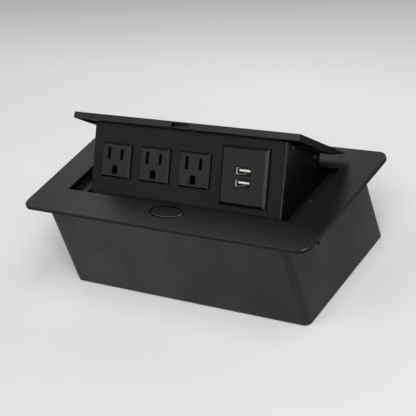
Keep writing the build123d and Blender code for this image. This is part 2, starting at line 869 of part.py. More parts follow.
with BuildPart() as latch_guide:
    with BuildSketch(Plane.XY.offset(guide_bottom)):
        with Locations((0, guide_middle)):
            RectangleRounded(guide_width, guide_rear - guide_front, fold_radius)
    extrude(amount=seat_z - guide_bottom)
    with BuildSketch(Plane.XY.offset(guide_deck)):
        with Locations((0, guide_middle)):
            Rectangle(bolt_width + 2 * slide_gap, guide_rear - guide_front + 2 * overrun)
    extrude(amount=seat_z - guide_deck + overrun, mode=Mode.SUBTRACT)
    with BuildSketch(Plane.XY.offset(cap_under - button_travel - running_gap)):
        with Locations((0, button_y)):
            Ellipse(button_hole_long, button_hole_short)
    extrude(amount=overrun, mode=Mode.SUBTRACT)
    with BuildSketch(Plane.XY.offset(guide_bottom + guide_floor)):
        with Locations((0, stem_middle)):
            Rectangle(stem_width + 2 * slide_gap, stem_rear + stem_front + 2 * slide_gap)
    extrude(amount=guide_deck - guide_bottom, mode=Mode.SUBTRACT)
    with BuildSketch(Plane.XY.offset(guide_bottom + guide_floor)):
        with Locations((0, stem_middle)):
            Rectangle(
                stem_width + 2 * barb_reach + 2 * running_gap,
                stem_rear + stem_front + 2 * slide_gap,
            )
    extrude(amount=barb_top + running_gap - guide_bottom - guide_floor, mode=Mode.SUBTRACT)
    with BuildSketch(Plane.YZ.offset(-stem_width / 2 - slide_gap)):
        with BuildLine():
            Polyline(
                (stem_middle, guide_deck + overrun),
                (stem_middle, guide_deck - wedge_drop),
                (button_y - stem_front - slide_gap, guide_deck - wedge_drop),
                (button_y - stem_front - wedge_drop - slide_gap, guide_deck),
                (button_y - stem_front - wedge_drop - slide_gap, guide_deck + overrun),
                close=True,
            )
        make_face()
    extrude(amount=stem_width + 2 * slide_gap, mode=Mode.SUBTRACT)
    with BuildSketch(Plane.XY.offset(channel_floor)):
        channel_middle = (channel_front + channel_rear) / 2
        with Locations((-bolt_tab_side, channel_middle), (bolt_tab_side, channel_middle)):
            Rectangle(bolt_tab_width + 2 * slide_gap, channel_rear - channel_front)
    extrude(amount=guide_deck - channel_floor + overrun, mode=Mode.SUBTRACT)
    with BuildSketch(Plane.XY.offset(guide_bottom)):
        with Locations(*guide_screw_places):
            Circle(screw_radius + fit)
    extrude(amount=seat_z - guide_bottom, mode=Mode.SUBTRACT)
save(latch_guide.part, "latch_guide")

with BuildPart() as guide_screws:
    with BuildSketch(Plane.XY.offset(guide_bottom)):
        with Locations(*guide_screw_places):
            Circle(screw_radius)
    extrude(amount=seat_z + guide_screw_bite - guide_bottom)
    with BuildSketch(Plane.XY.offset(guide_bottom)):
        with Locations(*guide_screw_places):
            Circle(screw_head)
    extrude(amount=-screw_head_height)
save(guide_screws.part, "guide_screws")


def coil_spring(name, base, length, radius, wire, turns):
    """A compression spring along the Z axis of base."""
    pitch = (length - wire) / turns
    points = coil_points(base.offset(wire / 2), radius, pitch, 360 * turns, 0)
    coil_gap(name, points, wire)
    return coil_wire(points, wire)


button_spring = coil_spring(
    "button spring",
    Plane(origin=(0, stem_middle, guide_bottom + guide_floor + slide_gap)),
    stem_bottom - guide_bottom - guide_floor - 2 * slide_gap,
    button_spring_coil,
    button_spring_wire,
    button_spring_turns,
)
save(button_spring, "button_spring")

latch_spring_length = tab_y - latch_spring_front - bolt_thickness / 2 - slide_gap
latch_springs = [
    coil_spring(
        "latch spring",
        Plane(
            origin=(side * bolt_tab_side, latch_spring_front, spring_z),
            x_dir=(1, 0, 0),
            z_dir=(0, 1, 0),
        ),
        latch_spring_length,
        latch_spring_coil,
        latch_spring_wire,
        latch_spring_turns,
    )
    for side in (-1, 1)
]
save(Compound(children=latch_springs), "latch_springs")

# Lid, with a chisel edge behind and a latch pocket in front
lid_screw_ys = (lid_front + lid_screw_front, lid_front + lid_screw_front + lid_screw_spacing)
side_screw_ys = (lid_front + side_screw_front, lid_front + side_screw_front + side_screw_spacing)
lid_screw_places = [(side * lid_screw_side, y) for side in (-1, 1) for y in lid_screw_ys]
strike_screw_places = [(-strike_width / 2 + 4 * plate_edge, 0), (strike_width / 2 - 4 * plate_edge, 0)]
strike_middle = lid_front + strike_depth / 2 + slide_gap

with BuildPart() as lid:
    with BuildSketch(profile_plane(-lid_width / 2)):
        with BuildLine():
            Polyline(
                (lid_front, total_height),
                (lid_rear, total_height),
                (taper_start, lid_under),
                (lid_front, lid_under),
                close=True,
            )
        make_face()
    extrude(amount=lid_width)
    top = lid.faces().sort_by(Axis(popped(0, 0, 0), (0, swing_sin, swing_cos)))[-1]
    chamfer(top.edges().filter_by(Axis.X).sort_by(Axis.Z)[-1], lid_edge)
    with BuildSketch(level_plane(lid_under - overrun)):
        with Locations((0, lid_front)):
            Rectangle(pocket_width, 2 * pocket_depth)
    extrude(amount=lid_thickness + overrun - pocket_skin, mode=Mode.SUBTRACT)
    with BuildSketch(level_plane(lid_under - overrun)):
        with Locations((0, lid_front)):
            Rectangle(strike_width + 2 * slide_gap, 2 * (strike_depth + 2 * slide_gap))
    extrude(amount=overrun + strike_thickness, mode=Mode.SUBTRACT)
    with BuildSketch(level_plane(lid_under)):
        with Locations(*lid_screw_places):
            Circle(screw_radius + fit)
        with Locations(*[(x, strike_middle) for x, y in strike_screw_places]):
            Circle(strike_screw_radius + fit)
    extrude(amount=lid_screw_reach, mode=Mode.SUBTRACT)
save(lid.part, "lid")

with BuildPart() as strike_plate:
    with BuildSketch(level_plane(lid_under)):
        with Locations((0, strike_middle)):
            Rectangle(strike_width, strike_depth)
            with Locations(*strike_screw_places):
                Circle(strike_screw_radius + fit, mode=Mode.SUBTRACT)
    extrude(amount=strike_thickness)
save(strike_plate.part, "strike_plate")

with BuildPart() as strike_screws:
    with BuildSketch(level_plane(lid_under)):
        with Locations(*[(x, strike_middle) for x, y in strike_screw_places]):
            Circle(strike_screw_radius)
    extrude(amount=lid_screw_reach - slide_gap)
    with BuildSketch(level_plane(lid_under)):
        with Locations(*[(x, strike_middle) for x, y in strike_screw_places]):
            Circle(2 * strike_screw_radius)
    extrude(amount=-strike_thickness)
save(strike_screws.part, "strike_screws")

# Cradle: face panel and two sides with necks that reach back to the shaft
chisel_slope = lid_thickness / lid_taper
rear_top_y = face_front + cradle_depth / lean_cos
chisel_rise = (rear_top_y - taper_start) * chisel_slope / (1 + chisel_slope * lean_sin / lean_cos)
chisel_y = taper_start + chisel_rise / chisel_slope
chisel_z = lid_under + chisel_rise
outlet_sides = [outlet_first + outlet_pitch * number for number in range(outlet_count)]
side_screw_z = total_height - side_screw_drop
side_screw_places = [(y, side_screw_z) for y in side_screw_ys]
cover_screw_places = [
    on_face(down, cradle_depth - cover_flange / 2) for down in (cover_screw_near, cover_screw_far)
]

with BuildPart() as cradle:
    with BuildSketch(profile_plane(-cheek_half)):
        with BuildLine():
            Polyline(
                (face_front, lid_under),
                on_face(face_length, 0),
                on_face(face_length, cradle_depth),
                on_face(neck_lower, cradle_depth),
                on_face(pivot_down + lobe_radius, pivot_behind),
                on_face(pivot_down - lobe_radius, pivot_behind),
                on_face(neck_upper - 2 * sheet, neck_waist_back),
                on_face(neck_upper, cradle_depth),
                (chisel_y, chisel_z),
                (taper_start, lid_under),
                close=True,
            )
        make_face()
        with Locations((pivot_y, pivot_z)):
            Circle(lobe_radius)
    extrude(amount=cradle_width)
    outward = Axis((0, 0, 0), tuple(face_plane(0).z_dir))
    face_edges = cradle.faces().sort_by(outward)[-1].edges()
    fillet(face_edges.filter_by(Axis((0, 0, 0), tuple(face_plane(0).y_dir))), fold_radius)
    with BuildSketch(profile_plane(-cheek_half + sheet)):
        with BuildLine():
            Polyline(
                on_face(-lid_taper, sheet),
                on_face(face_length + overrun, sheet),
                on_face(face_length + overrun, 2 * cradle_depth),
                on_face(-lid_taper, 2 * cradle_depth),
                close=True,
            )
        make_face()
    extrude(amount=cradle_width - 2 * sheet, mode=Mode.SUBTRACT)
    with BuildSketch(face_plane(-overrun)):
        with Locations(*[(x, -outlet_drop) for x in outlet_sides]):
            Rectangle(outlet_body_width + 2 * panel_gap, outlet_body_height + 2 * panel_gap)
        with Locations((usb_side, -usb_drop)):
            Rectangle(usb_body_width + 2 * panel_gap, usb_body_height + 2 * panel_gap)
    extrude(amount=-(sheet + 2 * overrun), mode=Mode.SUBTRACT)
    with BuildSketch(profile_plane(-cheek_half - overrun)):
        with Locations((pivot_y, pivot_z)):
            Circle(bush_radius + fit)
        with Locations(*side_screw_places, *cover_screw_places):
            Circle(screw_radius + fit)
    extrude(amount=cradle_width + 2 * overrun, mode=Mode.SUBTRACT)
    with BuildSketch(gear_plane):
        with Locations(*rivet_places):
            Circle(rivet_radius)
    extrude(amount=gear_width + sheet + overrun, mode=Mode.SUBTRACT)
    stop_top = seat_z - stop_pad_thickness - running_gap
    stop_tip = opening_front - stop_reach
    stop_root = popped(0, *on_face(face_length, sheet))[1]
    with BuildSketch(Plane.XY.offset(stop_top - sheet)):
        with Locations(*[(side * stop_side, (stop_root + stop_tip) / 2) for side in (-1, 1)]):
            Rectangle(stop_width, stop_root - stop_tip)
    extrude(amount=sheet)
save(cradle.part, "cradle")

# Angles that hold the lid inside the cradle's sides
def lid_bracket(side):
    """One angle, tapped for two side screws and drilled for two lid screws."""
    inside = side * (cheek_half - sheet)
    front = side_screw_ys[0] - side_screw_edge
    rear = side_screw_ys[1] + side_screw_edge
    with BuildPart() as angle:
        with BuildSketch(level_plane(lid_under)):
            with Locations((inside - side * angle_leg / 2, (front + rear) / 2)):
                Rectangle(angle_leg, rear - front)
            with Locations(*[(side * lid_screw_side, y) for y in lid_screw_ys]):
                Circle(screw_radius + fit, mode=Mode.SUBTRACT)
        extrude(amount=-sheet)
        with BuildSketch(level_plane(lid_under)):
            with Locations((inside - side * sheet / 2, (front + rear) / 2)):
                Rectangle(sheet, rear - front)
        extrude(amount=-angle_drop)
        with BuildSketch(profile_plane(side * (cheek_half - angle_leg))):
            with Locations(*side_screw_places):
                Circle(screw_radius + fit)
        extrude(amount=side * angle_leg, mode=Mode.SUBTRACT)
    return angle.part


for side, name in ((-1, "left"), (1, "right")):
    save(lid_bracket(side), f"lid_bracket_{name}")

with BuildPart() as lid_screws:
    with BuildSketch(level_plane(lid_under - sheet)):
        with Locations(*lid_screw_places):
            Circle(screw_radius)
    extrude(amount=sheet + lid_screw_reach - slide_gap)
    with BuildSketch(level_plane(lid_under - sheet)):
        with Locations(*lid_screw_places):
            Circle(screw_head)
    extrude(amount=-screw_head_height)
save(lid_screws.part, "lid_screws")


def cheek_screws(places, length):
    """Screws with crossed flat heads through both sides of the cradle."""
    with BuildPart() as screws:
        for side in (-1, 1):
            with BuildSketch(profile_plane(side * cheek_half)):
                with Locations(*places):
                    Circle(screw_radius)
            extrude(amount=-side * length)
            with BuildSketch(profile_plane(side * cheek_half)):
                with Locations(*places):
                    Circle(flat_head)
            extrude(amount=side * flat_head_height)
            with BuildSketch(profile_plane(side * (cheek_half + flat_head_height))):
                with Locations(*places):
                    Rectangle(cross_length, cross_width)
                    Rectangle(cross_width, cross_length)
            extrude(amount=-side * cross_depth, mode=Mode.SUBTRACT)
    return screws.part


save(cheek_screws(side_screw_places, 3 * sheet), "side_screws")
save(cheek_screws(cover_screw_places, 3 * sheet), "cover_screws")


def pivot_bush(side):
    """A flanged nylon bush pressed into one side of the cradle."""
    with BuildPart() as bush:
        with BuildSketch(profile_plane(side * (cheek_half - bush_barrel))):
            with Locations((pivot_y, pivot_z)):
                Circle(bush_radius)
        extrude(amount=side * bush_barrel)
        with BuildSketch(profile_plane(side * cheek_half)):
            with Locations((pivot_y, pivot_z)):
                Circle(bush_flange_radius)
        extrude(amount=side * bush_flange)
        with BuildSketch(profile_plane(side * (cheek_half - bush_barrel))):
            with Locations((pivot_y, pivot_z)):
                Circle(shaft_radius + fit)
        extrude(amount=side * (bush_barrel + bush_flange), mode=Mode.SUBTRACT)
    return bush.part


save(pivot_bush(-1), "pivot_bush_left")
save(pivot_bush(1), "pivot_bush_right")

# Cover behind and under the sockets, with a flange inside each side and a cable hole
cover_half = cheek_half - sheet - fit
with BuildPart() as back_cover:
    with BuildSketch(profile_plane(-cover_half)):
        with BuildLine():
            Polyline(
                on_face(cover_top, cradle_depth),
                on_face(face_length, cradle_depth),
                on_face(face_length, sheet + fit),
                on_face(face_length - sheet, sheet + fit),
                on_face(face_length - sheet, cradle_depth - cover_flange),
                on_face(cover_flange_top, cradle_depth - cover_flange),
                on_face(cover_flange_top, cradle_depth - sheet),
                on_face(cover_top, cradle_depth - sheet),
                close=True,
            )
        make_face()
    extrude(amount=2 * cover_half)
    with BuildSketch(profile_plane(-cover_half + sheet)):
        with BuildLine():
            Polyline(
                on_face(cover_top - overrun, cradle_depth - sheet),
                on_face(face_length - sheet, cradle_depth - sheet),
                on_face(face_length - sheet, -overrun),
                on_face(cover_top - overrun, -overrun),
                close=True,
            )
        make_face()
    extrude(amount=2 * (cover_half - sheet), mode=Mode.SUBTRACT)
    with BuildSketch(profile_plane(-cheek_half)):
        with Locations(*cover_screw_places):
            Circle(screw_radius + fit)
    extrude(amount=cradle_width, mode=Mode.SUBTRACT)
    with BuildSketch(face_plane(cradle_depth - sheet - overrun)):
        with Locations((-cable_side, -face_length + 2 * cover_cable_radius)):
            Circle(cover_cable_radius)
    extrude(amount=-(sheet + 2 * overrun), mode=Mode.SUBTRACT)
save(back_cover.part, "back_cover")


# Outlets: a bevelled moulding, brass contacts in its wells, and a back that closes them
contact_places = {
    "neutral": (-slot_spacing / 2, slot_rise, slot_width, neutral_height),
    "line": (slot_spacing / 2, slot_rise, slot_width, line_height),
    "ground": (0, -ground_fall, ground_width, ground_height),
}
contact_inset = contact_gap + well_spare
contact_front = slot_depth + contact_inset
contact_back = outlet_body_depth - contact_gap


def well_size(width, height):
    return width + 2 * contact_sheet + 2 * contact_gap, height + 2 * contact_gap


def outlet_moulding(face):
    """The bevelled front with its slots, and the body behind the panel."""
    with BuildPart() as moulding:
        with BuildSketch(face):
            Rectangle(outlet_width, outlet_height)
        extrude(amount=outlet_rim)
        with BuildSketch(face.offset(outlet_rim)):
            Rectangle(outlet_width, outlet_height)
        with BuildSketch(face.offset(outlet_raise)):
            Rectangle(outlet_width - 2 * outlet_bevel, outlet_height - 2 * outlet_bevel)
        loft()
        with BuildSketch(face):
            Rectangle(outlet_body_width, outlet_body_height)
        extrude(amount=-outlet_body_depth)
        with BuildSketch(face.offset(outlet_raise + overrun)):
            for name in ("neutral", "line"):
                x, y, width, height = contact_places[name]
                with Locations((x, y)):
                    Rectangle(width, height)
            arch = ground_width / 2
            with Locations((0, -ground_fall - ground_height / 2)):
                Rectangle(ground_width, ground_height - arch, align=(Align.CENTER, Align.MIN))
            with Locations((0, -ground_fall + ground_height / 2 - arch)):
                Circle(arch)
        extrude(amount=-(outlet_raise + 2 * overrun + slot_depth), mode=Mode.SUBTRACT)
        with BuildSketch(face.offset(-outlet_body_depth - overrun)):
            for x, y, width, height in contact_places.values():
                with Locations((x, y)):
                    Rectangle(*well_size(width, height))
        extrude(amount=outlet_body_depth + overrun - slot_depth, mode=Mode.SUBTRACT)
    return moulding.part


def outlet_contacts(face):
    """Three brass clips, each two leaves on a base with a tail through the back."""
    with BuildPart() as contacts:
        for x, y, width, height in contact_places.values():
            leaf_height = height - 2 * contact_gap
            leaf_side = width / 2 - contact_gap / 2
            with BuildSketch(face.offset(-contact_front)):
                with Locations((x - leaf_side, y), (x + leaf_side, y)):
                    Rectangle(contact_sheet, leaf_height)
            extrude(amount=contact_front - contact_back)
            with BuildSketch(face.offset(-contact_back)):
                with Locations((x, y)):
                    Rectangle(2 * leaf_side + contact_sheet, leaf_height)
            extrude(amount=2 * contact_sheet)
            with BuildSketch(face.offset(-contact_back)):
                with Locations((x, y)):
                    Rectangle(tail_sheet, tail_width)
            extrude(amount=-tail_length)
    return contacts.part


def outlet_back(face):
    """The plate behind the wells, with a slot for each tail."""
    with BuildPart() as back:
        with BuildSketch(face.offset(-outlet_body_depth)):
            Rectangle(outlet_body_width, outlet_body_height)
            for x, y, width, height in contact_places.values():
                with Locations((x, y)):
                    Rectangle(
                        tail_sheet + 2 * contact_gap,
                        tail_width + 2 * contact_gap,
                        mode=Mode.SUBTRACT,
                    )
        extrude(amount=-back_thickness)
    return back.part


for number, x in enumerate(outlet_sides, start=1):
    outlet_face = face_plane(0, outlet_drop, x)
    save(outlet_moulding(outlet_face), f"outlet_{number}")
    save(outlet_contacts(outlet_face), f"outlet_contacts_{number}")
    save(outlet_back(outlet_face), f"outlet_back_{number}")

# USB charger: bevelled plate, two ports, their board and the converter behind it
usb_face = face_plane(0, usb_drop, usb_side)
port_places = [(0, port_pitch / 2 - port_fall), (0, -port_pitch / 2 - port_fall)]
port_front = usb_raise - port_recess
board_front = port_front - port_length
shell_width = port_width - 2 * fit
shell_height = port_height - 2 * fit
post_places = [
    (side * (board_width / 2 - post_radius), rise * (board_height / 2 - post_radius))
    for side in (-1, 1)
    for rise in (-1, 1)
]

with BuildPart() as usb_plate:
    with BuildSketch(usb_face):
        Rectangle(usb_width, usb_height)
    extrude(amount=usb_rim)
    with BuildSketch(usb_face.offset(usb_rim)):
        Rectangle(usb_width, usb_height)
    with BuildSketch(usb_face.offset(usb_raise)):
        Rectangle(usb_width - 2 * usb_bevel, usb_height - 2 * usb_bevel)
    loft()
    with BuildSketch(usb_face):
        Rectangle(usb_body_width, usb_body_height)
    extrude(amount=-usb_body_depth)
    with BuildSketch(usb_face):
        with Locations(*post_places):
            Circle(post_radius)
    extrude(amount=board_front)
    with BuildSketch(usb_face.offset(usb_raise + overrun)):
        with Locations(*port_places):
            Rectangle(port_width, port_height)
    extrude(amount=-(usb_raise + usb_body_depth + 2 * overrun), mode=Mode.SUBTRACT)
    with BuildSketch(usb_face.offset(board_front)):
        with Locations(*post_places):
            Circle(strike_screw_radius + fit)
    extrude(amount=lid_screw_reach, mode=Mode.SUBTRACT)
save(usb_plate.part, "usb_plate")

with BuildPart() as usb_shells:
    with BuildSketch(usb_face.offset(port_front)):
        with Locations(*port_places):
            Rectangle(shell_width, shell_height)
    extrude(amount=-port_length)
    with BuildSketch(usb_face.offset(port_front + overrun)):
        with Locations(*port_places):
            Rectangle(shell_width - 2 * port_shell, shell_height - 2 * port_shell)
    extrude(amount=port_shell - port_length, mode=Mode.SUBTRACT)
save(usb_shells.part, "usb_shells")

with BuildPart() as usb_tongues:
    with BuildSketch(usb_face.offset(port_front - port_recess)):
        with Locations(*[(x, y + tongue_rise) for x, y in port_places]):
            Rectangle(tongue_width, tongue_height)
    extrude(amount=port_shell + port_recess + overrun - port_length)
save(usb_tongues.part, "usb_tongues")

with BuildPart() as usb_board:
    with BuildSketch(usb_face.offset(board_front)):
        Rectangle(board_width, board_height)
        with Locations(*post_places):
            Circle(strike_screw_radius + fit, mode=Mode.SUBTRACT)
    extrude(amount=-board_thickness)
save(usb_board.part, "usb_board")

with BuildPart() as usb_screws:
    with BuildSketch(usb_face.offset(board_front - board_thickness)):
        with Locations(*post_places):
            Circle(strike_screw_radius)
    extrude(amount=board_thickness + lid_screw_reach - slide_gap)
    with BuildSketch(usb_face.offset(board_front - board_thickness)):
        with Locations(*post_places):
            Circle(2 * strike_screw_radius)
    extrude(amount=-flat_head_height)
save(usb_screws.part, "usb_screws")

with BuildPart() as usb_converter:
    with BuildSketch(usb_face.offset(board_front - board_thickness)):
        RectangleRounded(converter_width, converter_height, converter_corner)
        with Locations(*post_places):
            Circle(2 * strike_screw_radius + running_gap, mode=Mode.SUBTRACT)
    extrude(amount=-converter_depth)
save(usb_converter.part, "usb_converter")
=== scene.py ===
import math
import bmesh
import bpy
from mathutils import Matrix, Vector


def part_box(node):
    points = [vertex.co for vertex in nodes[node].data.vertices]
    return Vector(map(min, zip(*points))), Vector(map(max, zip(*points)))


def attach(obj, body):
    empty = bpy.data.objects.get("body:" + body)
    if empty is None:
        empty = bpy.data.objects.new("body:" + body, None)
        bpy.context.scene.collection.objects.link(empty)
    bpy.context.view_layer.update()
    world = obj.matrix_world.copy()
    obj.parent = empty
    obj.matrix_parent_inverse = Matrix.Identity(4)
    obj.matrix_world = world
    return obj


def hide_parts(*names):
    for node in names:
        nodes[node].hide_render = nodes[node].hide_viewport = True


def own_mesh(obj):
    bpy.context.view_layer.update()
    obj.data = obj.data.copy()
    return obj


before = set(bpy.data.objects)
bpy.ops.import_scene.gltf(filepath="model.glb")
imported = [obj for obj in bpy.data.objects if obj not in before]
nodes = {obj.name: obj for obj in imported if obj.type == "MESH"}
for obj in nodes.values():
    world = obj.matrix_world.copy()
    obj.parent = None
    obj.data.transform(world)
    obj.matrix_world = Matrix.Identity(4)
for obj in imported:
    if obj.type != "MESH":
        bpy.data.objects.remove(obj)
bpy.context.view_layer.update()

print("frame loaded:", len(nodes), "nodes")

mm = 0.001


# node helpers

def addNode(tree, kind, inputs=None, **settings):
    # inputs maps a socket's name or number to a value or to another socket
    node = tree.nodes.new(kind)
    for key, value in settings.items():
        setattr(node, key, value)
    for key, value in (inputs or {}).items():
        if isinstance(value, bpy.types.NodeSocket):
            tree.links.new(value, node.inputs[key])
        else:
            node.inputs[key].default_value = value
    return node


def mixColour(tree, mask, colourA, colourB):
    return addNode(tree, "ShaderNodeMix", {0: mask, 6: colourA, 7: colourB}, data_type="RGBA").outputs[2]


def mixNumber(tree, mask, low, high):
    return addNode(tree, "ShaderNodeMix", {0: mask, 2: low, 3: high}, data_type="FLOAT").outputs[0]


def feed(tree, shader, label, value):
    # a value that varies is linked, and a constant goes on the shader's own socket
    if isinstance(value, bpy.types.NodeSocket):
        tree.links.new(value, shader.inputs[label])
    else:
        shader.inputs[label].default_value = value


def newGroup(name, inputs, outputs):
    group = bpy.data.node_groups.new(name, "ShaderNodeTree")
    for label, kind, value in inputs:
        socket = group.interface.new_socket(label, in_out="INPUT", socket_type=kind)
        socket.default_value = value
    for label, kind in outputs:
        group.interface.new_socket(label, in_out="OUTPUT", socket_type=kind)
    source = group.nodes.new("NodeGroupInput")
    target = group.nodes.new("NodeGroupOutput")
    return group, source.outputs, target.inputs


number = "NodeSocketFloat"


# coat grain: fine orange peel with a slow drift over it
coatGrain, gIn, gOut = newGroup(
    "coat grain",
    [("Scale", number, 900.0), ("Drift Scale", number, 9.0)],
    [("Height", number), ("Fleck", number), ("Drift", number)],
)
place = addNode(coatGrain, "ShaderNodeTexCoord").outputs["Object"]
fine = addNode(
    coatGrain, "ShaderNodeTexNoise",
    {"Vector": place, "Scale": gIn["Scale"], "Detail": 3.0, "Roughness": 0.55},
)
finer = addNode(coatGrain, "ShaderNodeMath", {0: gIn["Scale"], 1: 2.6}, operation="MULTIPLY")
fleck = addNode(
    coatGrain, "ShaderNodeTexNoise",
    {"Vector": place, "Scale": finer.outputs[0], "Detail": 2.0, "Roughness": 0.6},
)
slow = addNode(
    coatGrain, "ShaderNodeTexNoise",
    {"Vector": place, "Scale": gIn["Drift Scale"], "Detail": 4.0, "Roughness": 0.5},
)
coatGrain.links.new(fine.outputs[0], gOut["Height"])
coatGrain.links.new(fleck.outputs[0], gOut["Fleck"])
coatGrain.links.new(slow.outputs[0], gOut["Drift"])

# edge wear and sheen: where the rounded normal leaves the true one, broken up by noise; wear on most coats, and on the
# screws and the button a painted highlight as well
edgeWearAndSheen, gIn, gOut = newGroup(
    "edge wear and sheen",
    [("Radius", number, 0.0006), ("Breakup", number, 160.0), ("Amount", number, 0.5)],
    [("Mask", number), ("Normal", "NodeSocketVector")],
)
rounded = addNode(edgeWearAndSheen, "ShaderNodeBevel", {"Radius": gIn["Radius"]}, samples=4)
plain = addNode(edgeWearAndSheen, "ShaderNodeNewGeometry")
same = addNode(
    edgeWearAndSheen, "ShaderNodeVectorMath",
    {0: rounded.outputs[0], 1: plain.outputs["Normal"]}, operation="DOT_PRODUCT",
)
edge = addNode(
    edgeWearAndSheen, "ShaderNodeMapRange",
    {"Value": same.outputs["Value"], "From Min": 0.995, "From Max": 0.82, "To Min": 0.0, "To Max": 1.0},
)
place = addNode(edgeWearAndSheen, "ShaderNodeTexCoord").outputs["Object"]
broken = addNode(
    edgeWearAndSheen, "ShaderNodeTexNoise",
    {"Vector": place, "Scale": gIn["Breakup"], "Detail": 4.0, "Roughness": 0.6},
)
patchy = addNode(
    edgeWearAndSheen, "ShaderNodeMapRange",
    {"Value": broken.outputs[0], "From Min": 0.38, "From Max": 0.62},
)
both = addNode(edgeWearAndSheen, "ShaderNodeMath", {0: edge.outputs[0], 1: patchy.outputs[0]}, operation="MULTIPLY")
worn = addNode(
    edgeWearAndSheen, "ShaderNodeMath", {0: both.outputs[0], 1: gIn["Amount"]}, operation="MULTIPLY", use_clamp=True
)
edgeWearAndSheen.links.new(worn.outputs[0], gOut["Mask"])
edgeWearAndSheen.links.new(rounded.outputs[0], gOut["Normal"])

# settled dust: faces that look up, in soft patches
settledDust, gIn, gOut = newGroup(
    "settled dust",
    [("Patch Scale", number, 26.0), ("Amount", number, 0.2)],
    [("Mask", number)],
)
plain = addNode(settledDust, "ShaderNodeNewGeometry")
upward = addNode(settledDust, "ShaderNodeSeparateXYZ", {0: plain.outputs["Normal"]})
facing = addNode(
    settledDust, "ShaderNodeMapRange", {"Value": upward.outputs["Z"], "From Min": 0.3, "From Max": 0.95}
)
place = addNode(settledDust, "ShaderNodeTexCoord").outputs["Object"]
patch = addNode(
    settledDust, "ShaderNodeTexNoise",
    {"Vector": place, "Scale": gIn["Patch Scale"], "Detail": 6.0, "Roughness": 0.7},
)
both = addNode(settledDust, "ShaderNodeMath", {0: facing.outputs[0], 1: patch.outputs[0]}, operation="MULTIPLY")
dusty = addNode(
    settledDust, "ShaderNodeMath", {0: both.outputs[0], 1: gIn["Amount"]}, operation="MULTIPLY", use_clamp=True
)
settledDust.links.new(dusty.outputs[0], gOut["Mask"])

# drawn lines: fine streaks along one way, for rolled and drawn metal
drawnLines, gIn, gOut = newGroup(
    "drawn lines",
    [("Stretch", "NodeSocketVector", (40.0, 1600.0, 1600.0))],
    [("Line", number), ("Smudge", number)],
)
place = addNode(drawnLines, "ShaderNodeTexCoord").outputs["Object"]
pulled = addNode(drawnLines, "ShaderNodeVectorMath", {0: place, 1: gIn["Stretch"]}, operation="MULTIPLY")
line = addNode(drawnLines, "ShaderNodeTexNoise", {"Vector": pulled.outputs[0], "Scale": 1.0, "Detail": 3.0})
smudge = addNode(drawnLines, "ShaderNodeTexNoise", {"Vector": place, "Scale": 60.0, "Detail": 4.0})
drawnLines.links.new(line.outputs[0], gOut["Line"])
drawnLines.links.new(smudge.outputs[0], gOut["Smudge"])

# paired sides: faces along an axis of the piece, both ends alike; with low above high, the faces across it
pairedSides, gIn, gOut = newGroup(
    "paired sides",
    [("Direction", "NodeSocketVector", (0.0, 0.0, 1.0)), ("Low", number, 0.9), ("High", number, 0.97)],
    [("Mask", number)],
)
own = addNode(pairedSides, "ShaderNodeTexCoord").outputs["Normal"]
along = addNode(pairedSides, "ShaderNodeVectorMath", {0: own, 1: gIn["Direction"]}, operation="DOT_PRODUCT")
eitherWay = addNode(pairedSides, "ShaderNodeMath", {0: along.outputs["Value"]}, operation="ABSOLUTE")
there = addNode(
    pairedSides, "ShaderNodeMapRange",
    {"Value": eitherWay.outputs[0], "From Min": gIn["Low"], "From Max": gIn["High"]},
)
pairedSides.links.new(there.outputs[0], gOut["Mask"])


def groupNode(tree, group, inputs):
    node = addNode(tree, "ShaderNodeGroup", node_tree=group)
    for key, value in inputs.items():
        node.inputs[key].default_value = value
    return node


def spread(tree, value, low, high, fromLow=0.3, fromHigh=0.7):
    return addNode(
        tree, "ShaderNodeMapRange",
        {"Value": value, "From Min": fromLow, "From Max": fromHigh, "To Min": low, "To Max": high},
    ).outputs[0]


def newMaterial(name):
    material = bpy.data.materials.new(name)
    material.use_nodes = True
    tree = material.node_tree
    return material, tree, tree.nodes["Principled BSDF"]


def sided(tree, look, ground, gloss, metal):
    # each pair of sides in the look gets its own colour and gloss; the coats use this to paint highlights and shade by
    # the way a face turns
    for side in look.get("sides", ()):
        limits = {"Direction": side["way"], "Low": side["low"], "High": side["high"]}
        mask = groupNode(tree, pairedSides, limits).outputs[0]
        ground = mixColour(tree, mask, ground, (*side["colour"], 1.0))
        gloss = mixNumber(tree, mask, gloss, side["roughness"])
        metal = mixNumber(tree, mask, metal, side["metallic"])
    return ground, gloss, metal


